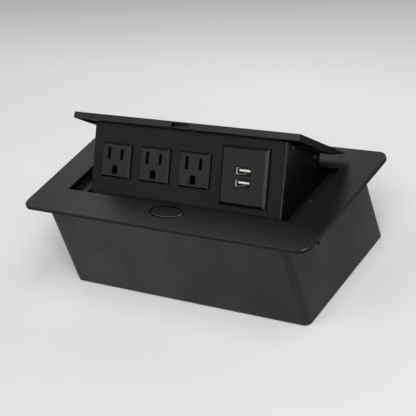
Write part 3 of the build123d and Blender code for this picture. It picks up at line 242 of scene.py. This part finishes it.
def coated(name, look):
    # paint, powder coat or moulding: grain, drift, worn edges (on the screws and the button also a painted highlight),
    # sides with colours of their own (painted highlight and shade) and a little dust
    material, tree, shader = newMaterial(name)
    grain = groupNode(tree, coatGrain, {"Scale": look["grainScale"], "Drift Scale": look["driftScale"]})
    wear = groupNode(
        tree, edgeWearAndSheen,
        {"Radius": look["edgeRadius"], "Breakup": look["wearBreakup"], "Amount": look["wear"]},
    )
    dust = groupNode(tree, settledDust, {"Patch Scale": look["dustScale"], "Amount": look["dust"]})
    dark = tuple(c * look["fleckDark"] for c in look["colour"]) + (1.0,)
    pale = tuple(c * look["fleckPale"] for c in look["colour"]) + (1.0,)
    ground = mixColour(tree, spread(tree, grain.outputs["Fleck"], 0.0, 1.0), dark, pale)
    drift = tuple(c * look["driftPale"] for c in look["colour"]) + (1.0,)
    ground = mixColour(tree, spread(tree, grain.outputs["Drift"], 0.0, 0.5), ground, drift)
    gloss = spread(tree, grain.outputs["Fleck"], look["roughness"] - look["roughSpread"], look["roughness"])
    tired = addNode(
        tree, "ShaderNodeMath", {0: gloss, 1: spread(tree, grain.outputs["Drift"], 0.0, look["roughSpread"])},
        operation="ADD", use_clamp=True,
    )
    metal = look.get("metallic", 0.0)
    if look.get("cloud"):
        metal = spread(tree, grain.outputs["Drift"], 0.0, look["cloud"], 0.4, 0.62)
    ground, gloss, metal = sided(tree, look, ground, tired.outputs[0], metal)
    ground = mixColour(tree, wear.outputs["Mask"], ground, (*look["wornColour"], 1.0))
    ground = mixColour(tree, dust.outputs["Mask"], ground, (*look["dustColour"], 1.0))
    tree.links.new(ground, shader.inputs["Base Color"])
    tree.links.new(gloss, shader.inputs["Roughness"])
    feed(tree, shader, "Metallic", metal)
    bump = addNode(
        tree, "ShaderNodeBump",
        {
            "Height": grain.outputs["Height"], "Strength": look["grainStrength"],
            "Distance": look["grainDepth"], "Normal": wear.outputs["Normal"],
        },
    )
    tree.links.new(bump.outputs[0], shader.inputs["Normal"])
    shader.inputs["Specular IOR Level"].default_value = look.get("specular", 0.5)
    return material


def drawn(name, look):
    # bare metal: drawn lines, smudged gloss and soft edges
    material, tree, shader = newMaterial(name)
    lines = groupNode(tree, drawnLines, {"Stretch": look["stretch"]})
    wear = groupNode(
        tree, edgeWearAndSheen,
        {"Radius": look["edgeRadius"], "Breakup": look["wearBreakup"], "Amount": look["wear"]},
    )
    dull = tuple(c * look["lineDark"] for c in look["colour"]) + (1.0,)
    ground = mixColour(
        tree, spread(tree, lines.outputs["Line"], 0.0, 1.0), dull, (*look["colour"], 1.0)
    )
    tarnished = spread(tree, lines.outputs["Smudge"], 0.0, look["tarnish"])
    ground = mixColour(tree, tarnished, ground, (*look["tarnishColour"], 1.0))
    gloss = spread(
        tree, lines.outputs["Smudge"], look["roughness"] - look["roughSpread"], look["roughness"] + look["roughSpread"]
    )
    ground, gloss, metal = sided(tree, look, ground, gloss, 1.0)
    ground = mixColour(tree, wear.outputs["Mask"], ground, (*look["wornColour"], 1.0))
    tree.links.new(ground, shader.inputs["Base Color"])
    tree.links.new(gloss, shader.inputs["Roughness"])
    feed(tree, shader, "Metallic", metal)
    bump = addNode(
        tree, "ShaderNodeBump",
        {
            "Height": lines.outputs["Line"], "Strength": look["lineStrength"],
            "Distance": look["lineDepth"], "Normal": wear.outputs["Normal"],
        },
    )
    tree.links.new(bump.outputs[0], shader.inputs["Normal"])
    return material


powderLook = {
    "colour": (0.0065, 0.0065, 0.0067), "fleckDark": 0.8, "fleckPale": 1.3, "driftPale": 1.2,
    "grainScale": 1500.0, "driftScale": 9.0, "grainStrength": 0.35, "grainDepth": 0.00012,
    "roughness": 0.36, "roughSpread": 0.06, "specular": 0.4,
    "edgeRadius": 0.0007, "wearBreakup": 170.0, "wear": 0.3, "wornColour": (0.04, 0.04, 0.041),
    "dust": 0.02, "dustScale": 30.0, "dustColour": (0.32, 0.32, 0.31),
}


def tinted(look, **changes):
    changed = dict(look)
    changed.update(changes)
    return changed


def pairOf(way, low, high, metallic, roughness, colour):
    return {"way": way, "low": low, "high": high, "metallic": metallic, "roughness": roughness, "colour": colour}


# the plate's edges, the same all round: bevels glossier and painted paler, a painted highlight, and the cut edge
# duller and painted dark, a painted shade
upright = (0.0, 0.0, 1.0)
plateBevelHighlight = pairOf(upright, 0.95, 0.88, 0.0, 0.24, (0.016, 0.016, 0.0163))
cutEdgeShade = pairOf(upright, 0.5, 0.3, 0.6, 0.5, (0.0025, 0.0025, 0.0026))
plateCoat = coated("plate coat", tinted(powderLook, cloud=0.12, driftScale=16.0, sides=[plateBevelHighlight, cutEdgeShade]))
rimCoat = coated("plate rim coat", tinted(powderLook, wear=0.1, sides=[plateBevelHighlight, cutEdgeShade]))
# gap shade: black without gloss, a painted shade filling the gap round the button
gapShadeBlack = coated("gap shade black", tinted(
    powderLook, colour=(0.0006, 0.0006, 0.0006), roughness=0.8, metallic=0.9, wear=0.0, dust=0.0,
))
# housing: its faces that look up or down, the underside among them, painted darker and duller, a painted shade
housingCoat = coated("housing coat", tinted(
    powderLook, colour=(0.012, 0.012, 0.0123), roughness=0.40, roughSpread=0.10, driftScale=17.0, driftPale=1.3,
    dust=0.01, wear=0.2, cloud=0.3, specular=0.34,
    sides=[pairOf(upright, 0.9, 0.97, 0.45, 0.55, (0.004, 0.004, 0.0041))],
))
# lid: its ends, the faces across x, painted near black and dull, a painted shade
lidCoat = coated("lid coat", tinted(
    powderLook, colour=(0.009, 0.009, 0.0092), roughness=0.34,
    sides=[pairOf((1.0, 0.0, 0.0), 0.9, 0.97, 0.5, 0.6, (0.002, 0.002, 0.0021))],
))
coverCoat = coated("back cover coat", tinted(powderLook, colour=(0.010, 0.010, 0.0103), roughness=0.4))
cradleCoat = coated("cradle coat", tinted(
    powderLook, colour=(0.0033, 0.0033, 0.0035), dust=0.01, cloud=0.1, driftScale=14.0,
))
# button: its bevels painted pale and glossy, a painted highlight; its cut sides painted dark, a painted shade; its
# strong edge wear also paints a highlight round the edges
buttonCoat = coated("button coat", tinted(
    powderLook, colour=(0.0035, 0.0035, 0.0037), wear=0.45, edgeRadius=0.0005,
    sides=[pairOf(upright, 0.92, 0.82, 0.35, 0.2, (0.08, 0.08, 0.081)), cutEdgeShade],
))
bracketCoat = coated("bracket coat", tinted(powderLook, colour=(0.0036, 0.0036, 0.0038), wear=0.25))
# blackened screws: full edge wear in a pale colour, a painted highlight along the heads' rounded edges
screwBlack = coated(
    "blackened screws",
    tinted(
        powderLook, colour=(0.016, 0.016, 0.017), roughness=0.36, grainScale=2600.0, wear=1.0, metallic=0.6,
        wornColour=(0.2, 0.2, 0.205), wearBreakup=420.0,
    ),
)
coverScrewBlack = coated("matte screws", tinted(
    powderLook, colour=(0.0018, 0.0018, 0.0019), roughness=0.6, grainScale=2600.0, wear=0.05, metallic=0.8,
    dust=0.0,
))

mouldLook = tinted(
    powderLook, colour=(0.0055, 0.0055, 0.0058), grainScale=2600.0, grainStrength=0.2, grainDepth=0.00005,
    roughness=0.3, roughSpread=0.05, wear=0.25, wornColour=(0.045, 0.045, 0.047), edgeRadius=0.0005, dust=0.02,
)
# mouldings on the panel: bevels rougher and painted darker than the face, side walls painted near black; both a
# painted shade round each moulding
panelOut, across = (0.0, -0.818, 0.575), (1.0, 0.0, 0.0)
mouldBevelShade = pairOf(panelOut, 0.95, 0.88, 0.3, 0.42, (0.006, 0.006, 0.0062))
mouldWallShade = pairOf(panelOut, 0.4, 0.2, 0.85, 0.7, (0.0015, 0.0015, 0.0016))
panelShadedSides = [mouldBevelShade, mouldWallShade]
outletPlastic = coated("outlet moulding", tinted(mouldLook, colour=(0.0118, 0.0118, 0.0121), sides=panelShadedSides))
usbPlastic = coated(
    "charger moulding", tinted(mouldLook, colour=(0.0100, 0.0100, 0.0104), driftScale=14.0, sides=panelShadedSides)
)
# lips: near black and dull, a painted shade round the slots and ports
lipLooks = tinted(
    mouldLook, colour=(0.0012, 0.0012, 0.0013), roughness=0.7, wear=0.1, dust=0.0, grainStrength=0.1, specular=0.15,
)
lipShade = coated("slot lips", lipLooks)
# ground hole lips: the same painted shade, with their side walls, facing across, painted pale as a highlight
groundLipShadeAndHighlight = coated("ground hole lips", tinted(lipLooks, sides=[
    pairOf(across, 0.75, 0.95, 0.0, 0.5, (0.10, 0.095, 0.085)),
]))
# lid shade sheet: near black, fully dull and without gloss, a painted shade under the lid's ends
lidShadeBlack = coated("lid shade sheet", tinted(lipLooks, colour=(0.0025, 0.0025, 0.0026), roughness=0.95, specular=0.0))
darkPlastic = coated("inner moulding", tinted(mouldLook, colour=(0.006, 0.006, 0.0064), roughness=0.5))
nylon = coated(
    "natural nylon",
    tinted(mouldLook, colour=(0.66, 0.64, 0.57), fleckDark=0.96, fleckPale=1.03, driftPale=0.95,
           wornColour=(0.72, 0.71, 0.66), dustColour=(0.4, 0.39, 0.36), roughness=0.45),
)
softRubber = coated(
    "soft rubber",
    tinted(mouldLook, colour=(0.020, 0.020, 0.021), roughness=0.78, wear=0.12, dust=0.05, specular=0.3),
)
bumperRubber = coated(
    "bumper rubber",
    tinted(mouldLook, colour=(0.006, 0.006, 0.0062), roughness=0.34, wear=0.1, dust=0.0, edgeRadius=0.0004),
)
tongueWhite = coated(
    "white tongue",
    tinted(mouldLook, colour=(0.78, 0.78, 0.76), fleckDark=0.98, fleckPale=1.02, driftPale=0.97,
           wornColour=(0.82, 0.82, 0.8), dustColour=(0.5, 0.5, 0.48), roughness=0.32, dust=0.01),
)
boardMask = coated(
    "solder mask",
    tinted(mouldLook, colour=(0.02, 0.11, 0.055), fleckDark=0.9, fleckPale=1.1, driftPale=1.25,
           wornColour=(0.12, 0.2, 0.12), roughness=0.28),
)

steelLook = {
    "colour": (0.62, 0.62, 0.63), "lineDark": 0.82, "stretch": (60.0, 1700.0, 1700.0),
    "tarnish": 0.25, "tarnishColour": (0.4, 0.4, 0.39), "roughness": 0.26, "roughSpread": 0.07,
    "lineStrength": 0.25, "lineDepth": 0.00003,
    "edgeRadius": 0.0003, "wearBreakup": 200.0, "wear": 0.4, "wornColour": (0.8, 0.8, 0.8),
}
# port shell: its side walls, the faces across x, painted near white, a painted highlight on the lit inner walls
shellSteel = drawn("port shell", tinted(
    steelLook, colour=(0.34, 0.27, 0.20), roughness=0.5, stretch=(1500.0, 60.0, 1500.0), tarnish=0.7,
    tarnishColour=(0.10, 0.075, 0.055), wornColour=(0.4, 0.34, 0.27),
    sides=[pairOf(across, 0.8, 0.95, 0.3, 0.5, (0.86, 0.86, 0.85))],
))
springSteel = drawn("spring wire", tinted(
    steelLook, colour=(0.10, 0.10, 0.103), roughness=0.38, tarnishColour=(0.06, 0.058, 0.055),
    wornColour=(0.25, 0.25, 0.25),
))
shaftSteel = drawn("oiled shaft", tinted(
    steelLook, colour=(0.2, 0.2, 0.205), roughness=0.34, tarnishColour=(0.1, 0.098, 0.094),
    wornColour=(0.4, 0.4, 0.4),
))
zincSteel = drawn("zinc plate", tinted(
    steelLook, colour=(0.55, 0.56, 0.58), tarnish=0.5, tarnishColour=(0.42, 0.42, 0.36), roughness=0.34,
))
# port spring shade: dark bronze, a painted shade on the spring tab beside each port's tongue
springShadeBronze = drawn("port spring shade", tinted(
    steelLook, colour=(0.09, 0.065, 0.045), roughness=0.55, tarnishColour=(0.04, 0.03, 0.022),
    wornColour=(0.3, 0.24, 0.17), wear=0.2,
))
contactBrass = drawn("rolled brass", tinted(
    steelLook, colour=(0.72, 0.5, 0.2), tarnish=0.4, tarnishColour=(0.4, 0.26, 0.1), wornColour=(0.86, 0.68, 0.36),
))
print("materials made:", len(bpy.data.materials))

finishes = {
    "faceplate": plateCoat,
    "housing_shell": housingCoat,
    "hinge_bracket_left": bracketCoat, "hinge_bracket_right": bracketCoat,
    "lid_bracket_left": bracketCoat, "lid_bracket_right": bracketCoat,
    "cradle": cradleCoat, "back_cover": coverCoat,
    "lid": lidCoat, "button_cap": buttonCoat,
    "hinge_shaft": shaftSteel, "strike_plate": lidCoat, "latch_bolt": zincSteel,
    "shaft_clips": springSteel, "gear_rivets": zincSteel, "plate_nuts": zincSteel, "strike_screws": screwBlack,
    "usb_shells": shellSteel, "usb_tongues": tongueWhite, "usb_board": boardMask, "usb_converter": darkPlastic,
    "torsion_spring_left": springSteel, "torsion_spring_right": springSteel,
    "button_spring": springSteel, "latch_springs": springSteel,
    "lid_screws": screwBlack, "side_screws": screwBlack, "cover_screws": coverScrewBlack,
    "guide_screws": zincSteel, "damper_screws": zincSteel, "usb_screws": zincSteel,
    "outlet_1": outletPlastic, "outlet_2": outletPlastic, "outlet_3": outletPlastic, "usb_plate": usbPlastic,
    "outlet_back_1": darkPlastic, "outlet_back_2": darkPlastic, "outlet_back_3": darkPlastic,
    "latch_guide": darkPlastic, "damper_body": darkPlastic,
    "sector_gear": nylon, "damper_pinion": nylon, "pivot_bush_left": darkPlastic, "pivot_bush_right": darkPlastic,
    "lid_bumpers": bumperRubber, "stop_pads": softRubber, "cable_grommet": softRubber,
    "outlet_contacts_1": contactBrass, "outlet_contacts_2": contactBrass, "outlet_contacts_3": contactBrass,
}
for name, node in nodes.items():
    node.data.materials.clear()
    node.data.materials.append(finishes[name])
print("finishes set")

# the open panel's plane: where a point of it stands, in mm across, down and out of its sheet
panel = {"top": (6.5, 113.4), "out": (-0.818, 0.575), "down": (-0.575, -0.818)}


def onPanel(x, down, out):
    y = panel["top"][0] + panel["out"][0] * out + panel["down"][0] * down
    z = panel["top"][1] + panel["out"][1] * out + panel["down"][1] * down
    return Vector((x, y, z)) * mm


def roundedLoop(halfWidth, low, high, topRadius, lowRadius, grow=0.0, steps=5):
    # the outline of a slot or bar, grown by an amount
    corners = [
        (halfWidth - lowRadius, low + lowRadius, lowRadius, -90.0),
        (halfWidth - topRadius, high - topRadius, topRadius, 0.0),
        (topRadius - halfWidth, high - topRadius, topRadius, 90.0),
        (lowRadius - halfWidth, low + lowRadius, lowRadius, 180.0),
    ]
    loop = []
    for x, y, radius, start in corners:
        for step in range(steps + 1):
            turn = math.radians(start + 90.0 * step / steps)
            loop.append((x + (radius + grow) * math.cos(turn), y + (radius + grow) * math.sin(turn)))
    return loop


def skinned(name, shells, finish, closed):
    # shells: lists of rings, each ring a list of points; closed joins the last ring to the first
    mesh = bmesh.new()
    for rings in shells:
        rows = [[mesh.verts.new(point) for point in ring] for ring in rings]
        pairs = list(zip(rows, rows[1:])) + ([(rows[-1], rows[0])] if closed else [])
        for one, two in pairs:
            for index in range(len(one)):
                following = (index + 1) % len(one)
                mesh.faces.new((one[index], one[following], two[following], two[index]))
        if not closed:
            mesh.faces.new(rows[0])
            mesh.faces.new(rows[-1])
    bmesh.ops.recalc_face_normals(mesh, faces=mesh.faces)
    data = bpy.data.meshes.new(name)
    mesh.to_mesh(data)
    mesh.free()
    piece = bpy.data.objects.new(name, data)
    bpy.context.scene.collection.objects.link(piece)
    data.materials.append(finish)
    return piece


# slot lips: a lead-in round each slot, coloured near black and without gloss, a painted shade in the slot mouths
lipLook = {"out": 2.4, "width": 0.36, "height": 0.12, "dip": 0.6}
slots = {
    "neutral": {"at": (-6.35, 4.9), "size": (2.3, 9.0), "top": 0.3, "low": 0.3},
    "line": {"at": (6.35, 4.9), "size": (2.3, 7.6), "top": 0.3, "low": 0.3},
    "ground": {"at": (0.0, -7.0), "size": (6.0, 6.3), "top": 3.0, "low": 0.3},
}
outletPlaces = {"1": -65.1, "2": -27.0, "3": 11.1}
outletDown = 27.6
lipFinish = {"slot_lips_": (("neutral", "line"), lipShade), "ground_lips_": (("ground",), groundLipShadeAndHighlight)}


def lipRings(centre, down, size, top, low, look):
    halfWidth, halfHeight = size[0] / 2, size[1] / 2
    sections = [
        (look["width"], -0.05), (look["width"] - 0.06, look["height"]), (0.16, look["height"]),
        (0.0, 0.0), (-0.02, -look["dip"]), (0.08, -look["dip"]),
    ]
    return [
        [onPanel(centre + u, down - v, look["out"] + rise)
         for u, v in roundedLoop(halfWidth, -halfHeight, halfHeight, top, low, grow)]
        for grow, rise in sections
    ]


for label, x in outletPlaces.items():
    for start, (kinds, finish) in lipFinish.items():
        shells = []
        for kind in kinds:
            slot = slots[kind]
            aside, rise = slot["at"]
            shells.append(lipRings(x + aside, outletDown - rise, slot["size"], slot["top"], slot["low"], lipLook))
        lips = skinned(start + label, shells, finish, closed=True)
        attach(lips, "popup")
print("slot lips made:", len(outletPlaces) * len(lipFinish))

# charger ports: dark lips as painted shade round the ports, white tongues with rounded edges, their brass strips, and
# a spring tab at the left wall of each port whose dark bronze colour is a painted shade between the lit wall and the
# tongue
portLook = {"x": 56.45, "down": 28.3, "pitch": 8.7, "size": (12.5, 5.1), "radius": 0.5}
portLip = {"out": 2.5, "width": 0.62, "height": 0.42, "dip": 0.25}
tongueLook = {
    "shift": 0.5, "width": 9.8, "height": 1.6, "radius": 0.7, "rise": 0.6, "front": 1.6, "back": -9.6,
    "bevel": 0.3, "softStep": 0.1, "softInset": 0.12,
}
springLook = {
    "at": -5.65, "width": 1.0, "height": 3.6, "radius": 0.4, "front": 1.4, "back": -6.0, "inset": 0.2, "nose": 0.5,
}
stripLook = {
    "places": (-3.5, -1.1, 1.1, 3.5), "width": 1.1, "thick": 0.16, "radius": 0.05, "front": 1.2, "back": -6.0,
    "inset": 0.03, "nose": 0.3,
}
portDowns = [portLook["down"] - portLook["pitch"] / 2, portLook["down"] + portLook["pitch"] / 2]

shells = [
    lipRings(portLook["x"], down, portLook["size"], portLook["radius"], portLook["radius"], portLip)
    for down in portDowns
]
lips = skinned("port_lips", shells, lipShade, closed=True)
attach(lips, "popup")

shells = []
for down in portDowns:
    half = (tongueLook["width"] / 2, tongueLook["height"] / 2)
    shells.append([
        [onPanel(portLook["x"] + tongueLook["shift"] + u, down - tongueLook["rise"] - v, out)
         for u, v in roundedLoop(half[0], -half[1], half[1], tongueLook["radius"], tongueLook["radius"], grow)]
        for out, grow in (
            (tongueLook["front"], -tongueLook["bevel"]),
            (tongueLook["front"] - tongueLook["softStep"], -tongueLook["softInset"]),
            (tongueLook["front"] - tongueLook["bevel"], 0.0), (tongueLook["back"], 0.0),
        )
    ])
tongues = skinned("port_tongues", shells, tongueWhite, closed=False)
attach(tongues, "popup")
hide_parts("usb_tongues")

shells = []
for down in portDowns:
    under = down - tongueLook["rise"] + tongueLook["height"] / 2 + stripLook["thick"] / 2
    for x in stripLook["places"]:
        half = (stripLook["width"] / 2, stripLook["thick"] / 2)
        shells.append([
            [onPanel(portLook["x"] + x + u, under - v, out)
             for u, v in roundedLoop(half[0], -half[1], half[1], stripLook["radius"], stripLook["radius"], grow, 2)]
            for out, grow in (
                (stripLook["front"], -stripLook["inset"]), (stripLook["front"] - stripLook["nose"], 0.0),
                (stripLook["back"], 0.0),
            )
        ])
strips = skinned("port_strips", shells, contactBrass, closed=False)
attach(strips, "popup")

shells = []
for down in portDowns:
    half = (springLook["width"] / 2, springLook["height"] / 2)
    shells.append([
        [onPanel(portLook["x"] + springLook["at"] + u, down - v, out)
         for u, v in roundedLoop(half[0], -half[1], half[1], springLook["radius"], springLook["radius"], grow, 3)]
        for out, grow in (
            (springLook["front"], -springLook["inset"]), (springLook["front"] - springLook["nose"], 0.0),
            (springLook["back"], 0.0),
        )
    ])
springShades = skinned("port_spring_shades", shells, springShadeBronze, closed=False)
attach(springShades, "popup")
print("charger ports dressed:", len(portDowns))

# button ring: a black ring in the gap round the cap, a painted shade in the gap, and the bevelled edge of its hole
ringLook = {
    "y": -40.1, "radii": (14.6, 6.05), "points": 72,
    "gapShade": [(0.08, -1.3), (0.08, -0.2), (0.2, -0.02), (1.05, -0.02), (1.15, -0.2), (0.5, -1.3)],
    "bezel": [(0.9, -0.3), (1.12, -0.15), (1.3, 0.0), (1.5, 0.0), (1.6, -0.3)],
}
plateLow, plateHigh = [Vector(corner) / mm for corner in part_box("faceplate")]


def ovalRing(name, sections, finish):
    # sections: how far out of the cap's outline and how far above the plate, in mm
    rings = []
    for grow, rise in sections:
        turns = [math.tau * step / ringLook["points"] for step in range(ringLook["points"])]
        wide, deep = ringLook["radii"][0] + grow, ringLook["radii"][1] + grow
        rings.append([
            Vector((wide * math.cos(turn), ringLook["y"] + deep * math.sin(turn), plateHigh.z + rise)) * mm
            for turn in turns
        ])
    return skinned(name, [rings], finish, closed=True)


gapShade = ovalRing("button_gap_shade", ringLook["gapShade"], gapShadeBlack)
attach(gapShade, "box")
bezel = ovalRing("button_bezel", ringLook["bezel"], plateCoat)
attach(bezel, "box")
print("button ring made")

# springs wound as round wire coils, in place of the model's own springs
springsLook = {
    "latch_springs": {"wire": 0.45, "turns": 6, "joint": "latch_slide", "axis": (0.0, 1.0, 0.0), "travel": 1.5},
    "button_spring": {"wire": 0.5, "turns": 5, "joint": "button_press", "axis": (0.0, 0.0, 1.0), "travel": 1.5},
}


def coilRings(start, along, length, radius, wire, turns, sides=8, steps=18):
    # a round wire wound about a straight line, with a closed turn at each end
    along = Vector(along)
    across = along.orthogonal().normalized()
    third = along.cross(across)
    count = (turns + 2) * steps
    rings, line = [], []
    for step in range(count + 1):
        turn = math.tau * step / steps
        rise = min(max((step - steps) / (count - 2 * steps), 0.0), 1.0)
        outward = across * math.cos(turn) + third * math.sin(turn)
        closing = wire * (min(step / steps, 1.0) + min(max(step - count + steps, 0) / steps, 1.0)) * 0.9
        height = wire / 2 + closing + rise * (length - wire - 1.8 * wire)
        line.append((start + along * height + outward * (radius - wire / 2), outward))
    angles = [math.tau * k / sides for k in range(sides)]
    for centre, outward in line:
        rings.append([
            (centre + (outward * math.cos(angle) + along * math.sin(angle)) * (wire / 2)) * mm for angle in angles
        ])
    return rings


for name, look in springsLook.items():
    low, high = [Vector(corner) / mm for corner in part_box(name)]
    middle, axis = (low + high) / 2, Vector(look["axis"])
    length = (high - low).dot(axis)
    radius = (high.z - low.z) / 2 if axis.y else (high.x - low.x) / 2
    starts = []
    for side in ((-1, 1) if axis.y else (0,)):
        x = side * (high.x - radius) if side else middle.x
        starts.append(Vector((x, low.y, middle.z)) if axis.y else Vector((x, middle.y, low.z)))
    shells = [coilRings(start, axis, length, radius, look["wire"], look["turns"]) for start in starts]
    wound = skinned("wound_" + name, shells, springSteel, closed=False)
    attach(wound, "box")
    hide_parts(name)
    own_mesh(wound)
print("springs wound:", len(springsLook))

# lid shade sheet: a thin dark sheet under both ends of the lid, a painted shade that keeps the lid's underside dark;
# laid out with the lid shut and then swung open
lidShadeLook = {
    "underside": 69.1, "thick": 0.18, "front": -28.8, "length": 16.0, "end": 1.0, "inner": 1.5, "corner": 1.0,
    "soft": 0.05, "gap": 0.01, "pivot": (44.1, 58.8), "open": 46.5,
}
pivot, openAngle = lidShadeLook["pivot"], math.radians(lidShadeLook["open"])
lidLow, lidHigh = [Vector(corner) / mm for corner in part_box("lid")]
cradleLow, cradleHigh = [Vector(corner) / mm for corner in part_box("cradle")]


def swung(x, y, z):
    ahead, above = y - pivot[0], z - pivot[1]
    return Vector((
        x, pivot[0] + ahead * math.cos(openAngle) + above * math.sin(openAngle),
        pivot[1] - ahead * math.sin(openAngle) + above * math.cos(openAngle),
    )) * mm


shells = []
for outer, inner in (
    (lidLow.x + lidShadeLook["end"], cradleLow.x + lidShadeLook["inner"]),
    (cradleHigh.x - lidShadeLook["inner"], lidHigh.x - lidShadeLook["end"]),
):
    middle, half = (outer + inner) / 2, (inner - outer) / 2
    shells.append([
        [swung(middle + u, lidShadeLook["front"] + v, lidShadeLook["underside"] - drop)
         for u, v in roundedLoop(half, 0.0, lidShadeLook["length"], lidShadeLook["corner"], lidShadeLook["corner"], grow, 3)]
        for drop, grow in (
            (lidShadeLook["gap"], 0.0), (lidShadeLook["thick"] - lidShadeLook["soft"], 0.0),
            (lidShadeLook["thick"], -lidShadeLook["soft"]),
        )
    ])
lidShade = skinned("lid_shade_sheet", shells, lidShadeBlack, closed=False)
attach(lidShade, "popup")
print("lid shade sheet made")

# plate rim: fills the step under the plate's edge, all round
rimLook = {
    "corner": 9.0, "steps": 10, "inset": 0.03, "thick": 3.0, "under": 1.6, "bevel": 0.3, "lap": 0.1, "lift": 0.03,
}


def plateRing(inset, height):
    half = ((plateHigh.x - plateLow.x) / 2, (plateHigh.y - plateLow.y) / 2)
    middle = ((plateHigh.x + plateLow.x) / 2, (plateHigh.y + plateLow.y) / 2)
    outline = roundedLoop(half[0], -half[1], half[1], rimLook["corner"], rimLook["corner"], -inset, rimLook["steps"])
    return [Vector((middle[0] + x, middle[1] + y, height)) * mm for x, y in outline]


underside = plateHigh.z - rimLook["thick"]
rim = skinned("plate_rim", [[
    plateRing(rimLook["inset"] + rimLook["bevel"], underside + rimLook["lift"]),
    plateRing(rimLook["inset"], underside + rimLook["bevel"]),
    plateRing(rimLook["inset"], underside + rimLook["under"] + rimLook["lap"]),
    plateRing(rimLook["under"] + rimLook["lap"], underside + rimLook["lift"]),
]], rimCoat, closed=True)
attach(rim, "box")
print("plate rim made")

# floor: seen and mirrored with a colour that changes with place, a painted fall-off of light that is brightest at the
# left and darker to the right, far off and near; it throws back an even light
floorLook = {
    "size": 14.0, "left": (0.985, 0.985, 0.985), "right": (0.83, 0.83, 0.832), "far": (0.56, 0.56, 0.565),
    "near": (0.79, 0.79, 0.79), "bounce": (0.78, 0.78, 0.78), "speck": (0.7, 0.7, 0.7), "roughness": 0.75,
}
bpy.ops.mesh.primitive_plane_add(size=floorLook["size"], location=(0, 0, -0.0003))
floor = bpy.context.active_object
floor.name = "floor"
material, tree, shader = newMaterial("paper floor")
place = addNode(tree, "ShaderNodeTexCoord").outputs["Object"]
apart = addNode(tree, "ShaderNodeSeparateXYZ", {0: place})
sideways = addNode(tree, "ShaderNodeMapRange", {"Value": apart.outputs["X"], "From Min": -0.1, "From Max": 0.25})
fade = addNode(
    tree, "ShaderNodeMapRange",
    {"Value": apart.outputs["Y"], "From Min": 0.22, "From Max": 0.46}, interpolation_type="SMOOTHSTEP",
)
speck = addNode(tree, "ShaderNodeTexNoise", {"Vector": place, "Scale": 40.0, "Detail": 4.0})
base = mixColour(tree, sideways.outputs[0], (*floorLook["left"], 1.0), (*floorLook["right"], 1.0))
base = mixColour(tree, fade.outputs[0], base, (*floorLook["far"], 1.0))
nearing = addNode(
    tree, "ShaderNodeMapRange",
    {"Value": apart.outputs["Y"], "From Min": 0.08, "From Max": -0.12, "To Min": 0.0, "To Max": 0.75},
)
base = mixColour(tree, nearing.outputs[0], base, (*floorLook["near"], 1.0))
paths = addNode(tree, "ShaderNodeLightPath")
direct = addNode(
    tree, "ShaderNodeMath", {0: paths.outputs["Is Camera Ray"], 1: paths.outputs["Is Glossy Ray"]}, operation="MAXIMUM"
)
seen = addNode(
    tree, "ShaderNodeMath", {0: direct.outputs[0], 1: paths.outputs["Is Transmission Ray"]}, operation="MAXIMUM"
)
lit = mixColour(tree, seen.outputs[0], (*floorLook["bounce"], 1.0), base)
soft = mixColour(tree, spread(tree, speck.outputs[0], 0.0, 0.04), lit, (*floorLook["speck"], 1.0))
tree.links.new(soft, shader.inputs["Base Color"])
shader.inputs["Roughness"].default_value = floorLook["roughness"]
shader.inputs["Specular IOR Level"].default_value = 0.2
floor.data.materials.append(material)

# lamps
target = Vector((0.0, 0.0, 0.06))


def softbox(name, look):
    lamp = bpy.data.lights.new(name, "AREA")
    lamp.shape = "RECTANGLE"
    lamp.size, lamp.size_y = look["size"]
    lamp.energy = look["power"]
    holder = bpy.data.objects.new(name, lamp)
    bpy.context.scene.collection.objects.link(holder)
    holder.location = look["place"]
    holder.rotation_euler = (target - Vector(look["place"])).to_track_quat("-Z", "Y").to_euler()
    return holder


softbox("key", {"size": (1.0, 1.0), "power": 22.0, "place": (0.95, -0.95, 1.26)})
softbox("overhead", {"size": (1.0, 1.0), "power": 11.5, "place": (0.79, 0.0, 1.68)})
softbox("left front", {"size": (1.0, 1.0), "power": 5.0, "place": (-0.64, -0.64, 1.62)})
softbox("low front", {"size": (1.0, 1.0), "power": 1.8, "place": (-1.08, -1.08, 0.98)})
softbox("left rear", {"size": (1.0, 1.0), "power": 2.8, "place": (-1.08, 1.08, 0.98)})
softbox("rear fill", {"size": (1.0, 1.0), "power": 1.4, "place": (0.5, 1.45, 0.75)})

world = bpy.data.worlds.new("studio")
bpy.context.scene.world = world
world.use_nodes = True
world.node_tree.nodes["Background"].inputs["Color"].default_value = (0.86, 0.87, 0.88, 1.0)
world.node_tree.nodes["Background"].inputs["Strength"].default_value = 0.03

# camera, at the photograph's angle, with its roll
view = {
    "lens": 117.877, "place": (0.626659, -0.612788, 0.582945),
    "right": (0.7839655, 0.5511957, -0.2856246),
    "down": (0.1165810, -0.5826163, -0.8043427),
}
camera = bpy.data.objects.new("camera", bpy.data.cameras.new("camera"))
bpy.context.scene.collection.objects.link(camera)
right = Vector(view["right"]).normalized()
up = -Vector(view["down"]).normalized()
back = right.cross(up)
turn = Matrix((right, up, back)).transposed().to_4x4()
camera.matrix_world = Matrix.Translation(view["place"]) @ turn
camera.data.lens = view["lens"]
camera.data.sensor_width = 36.0
bpy.context.scene.camera = camera
bpy.context.scene.view_settings.view_transform = "Standard"
print("stage, lamps and camera set")
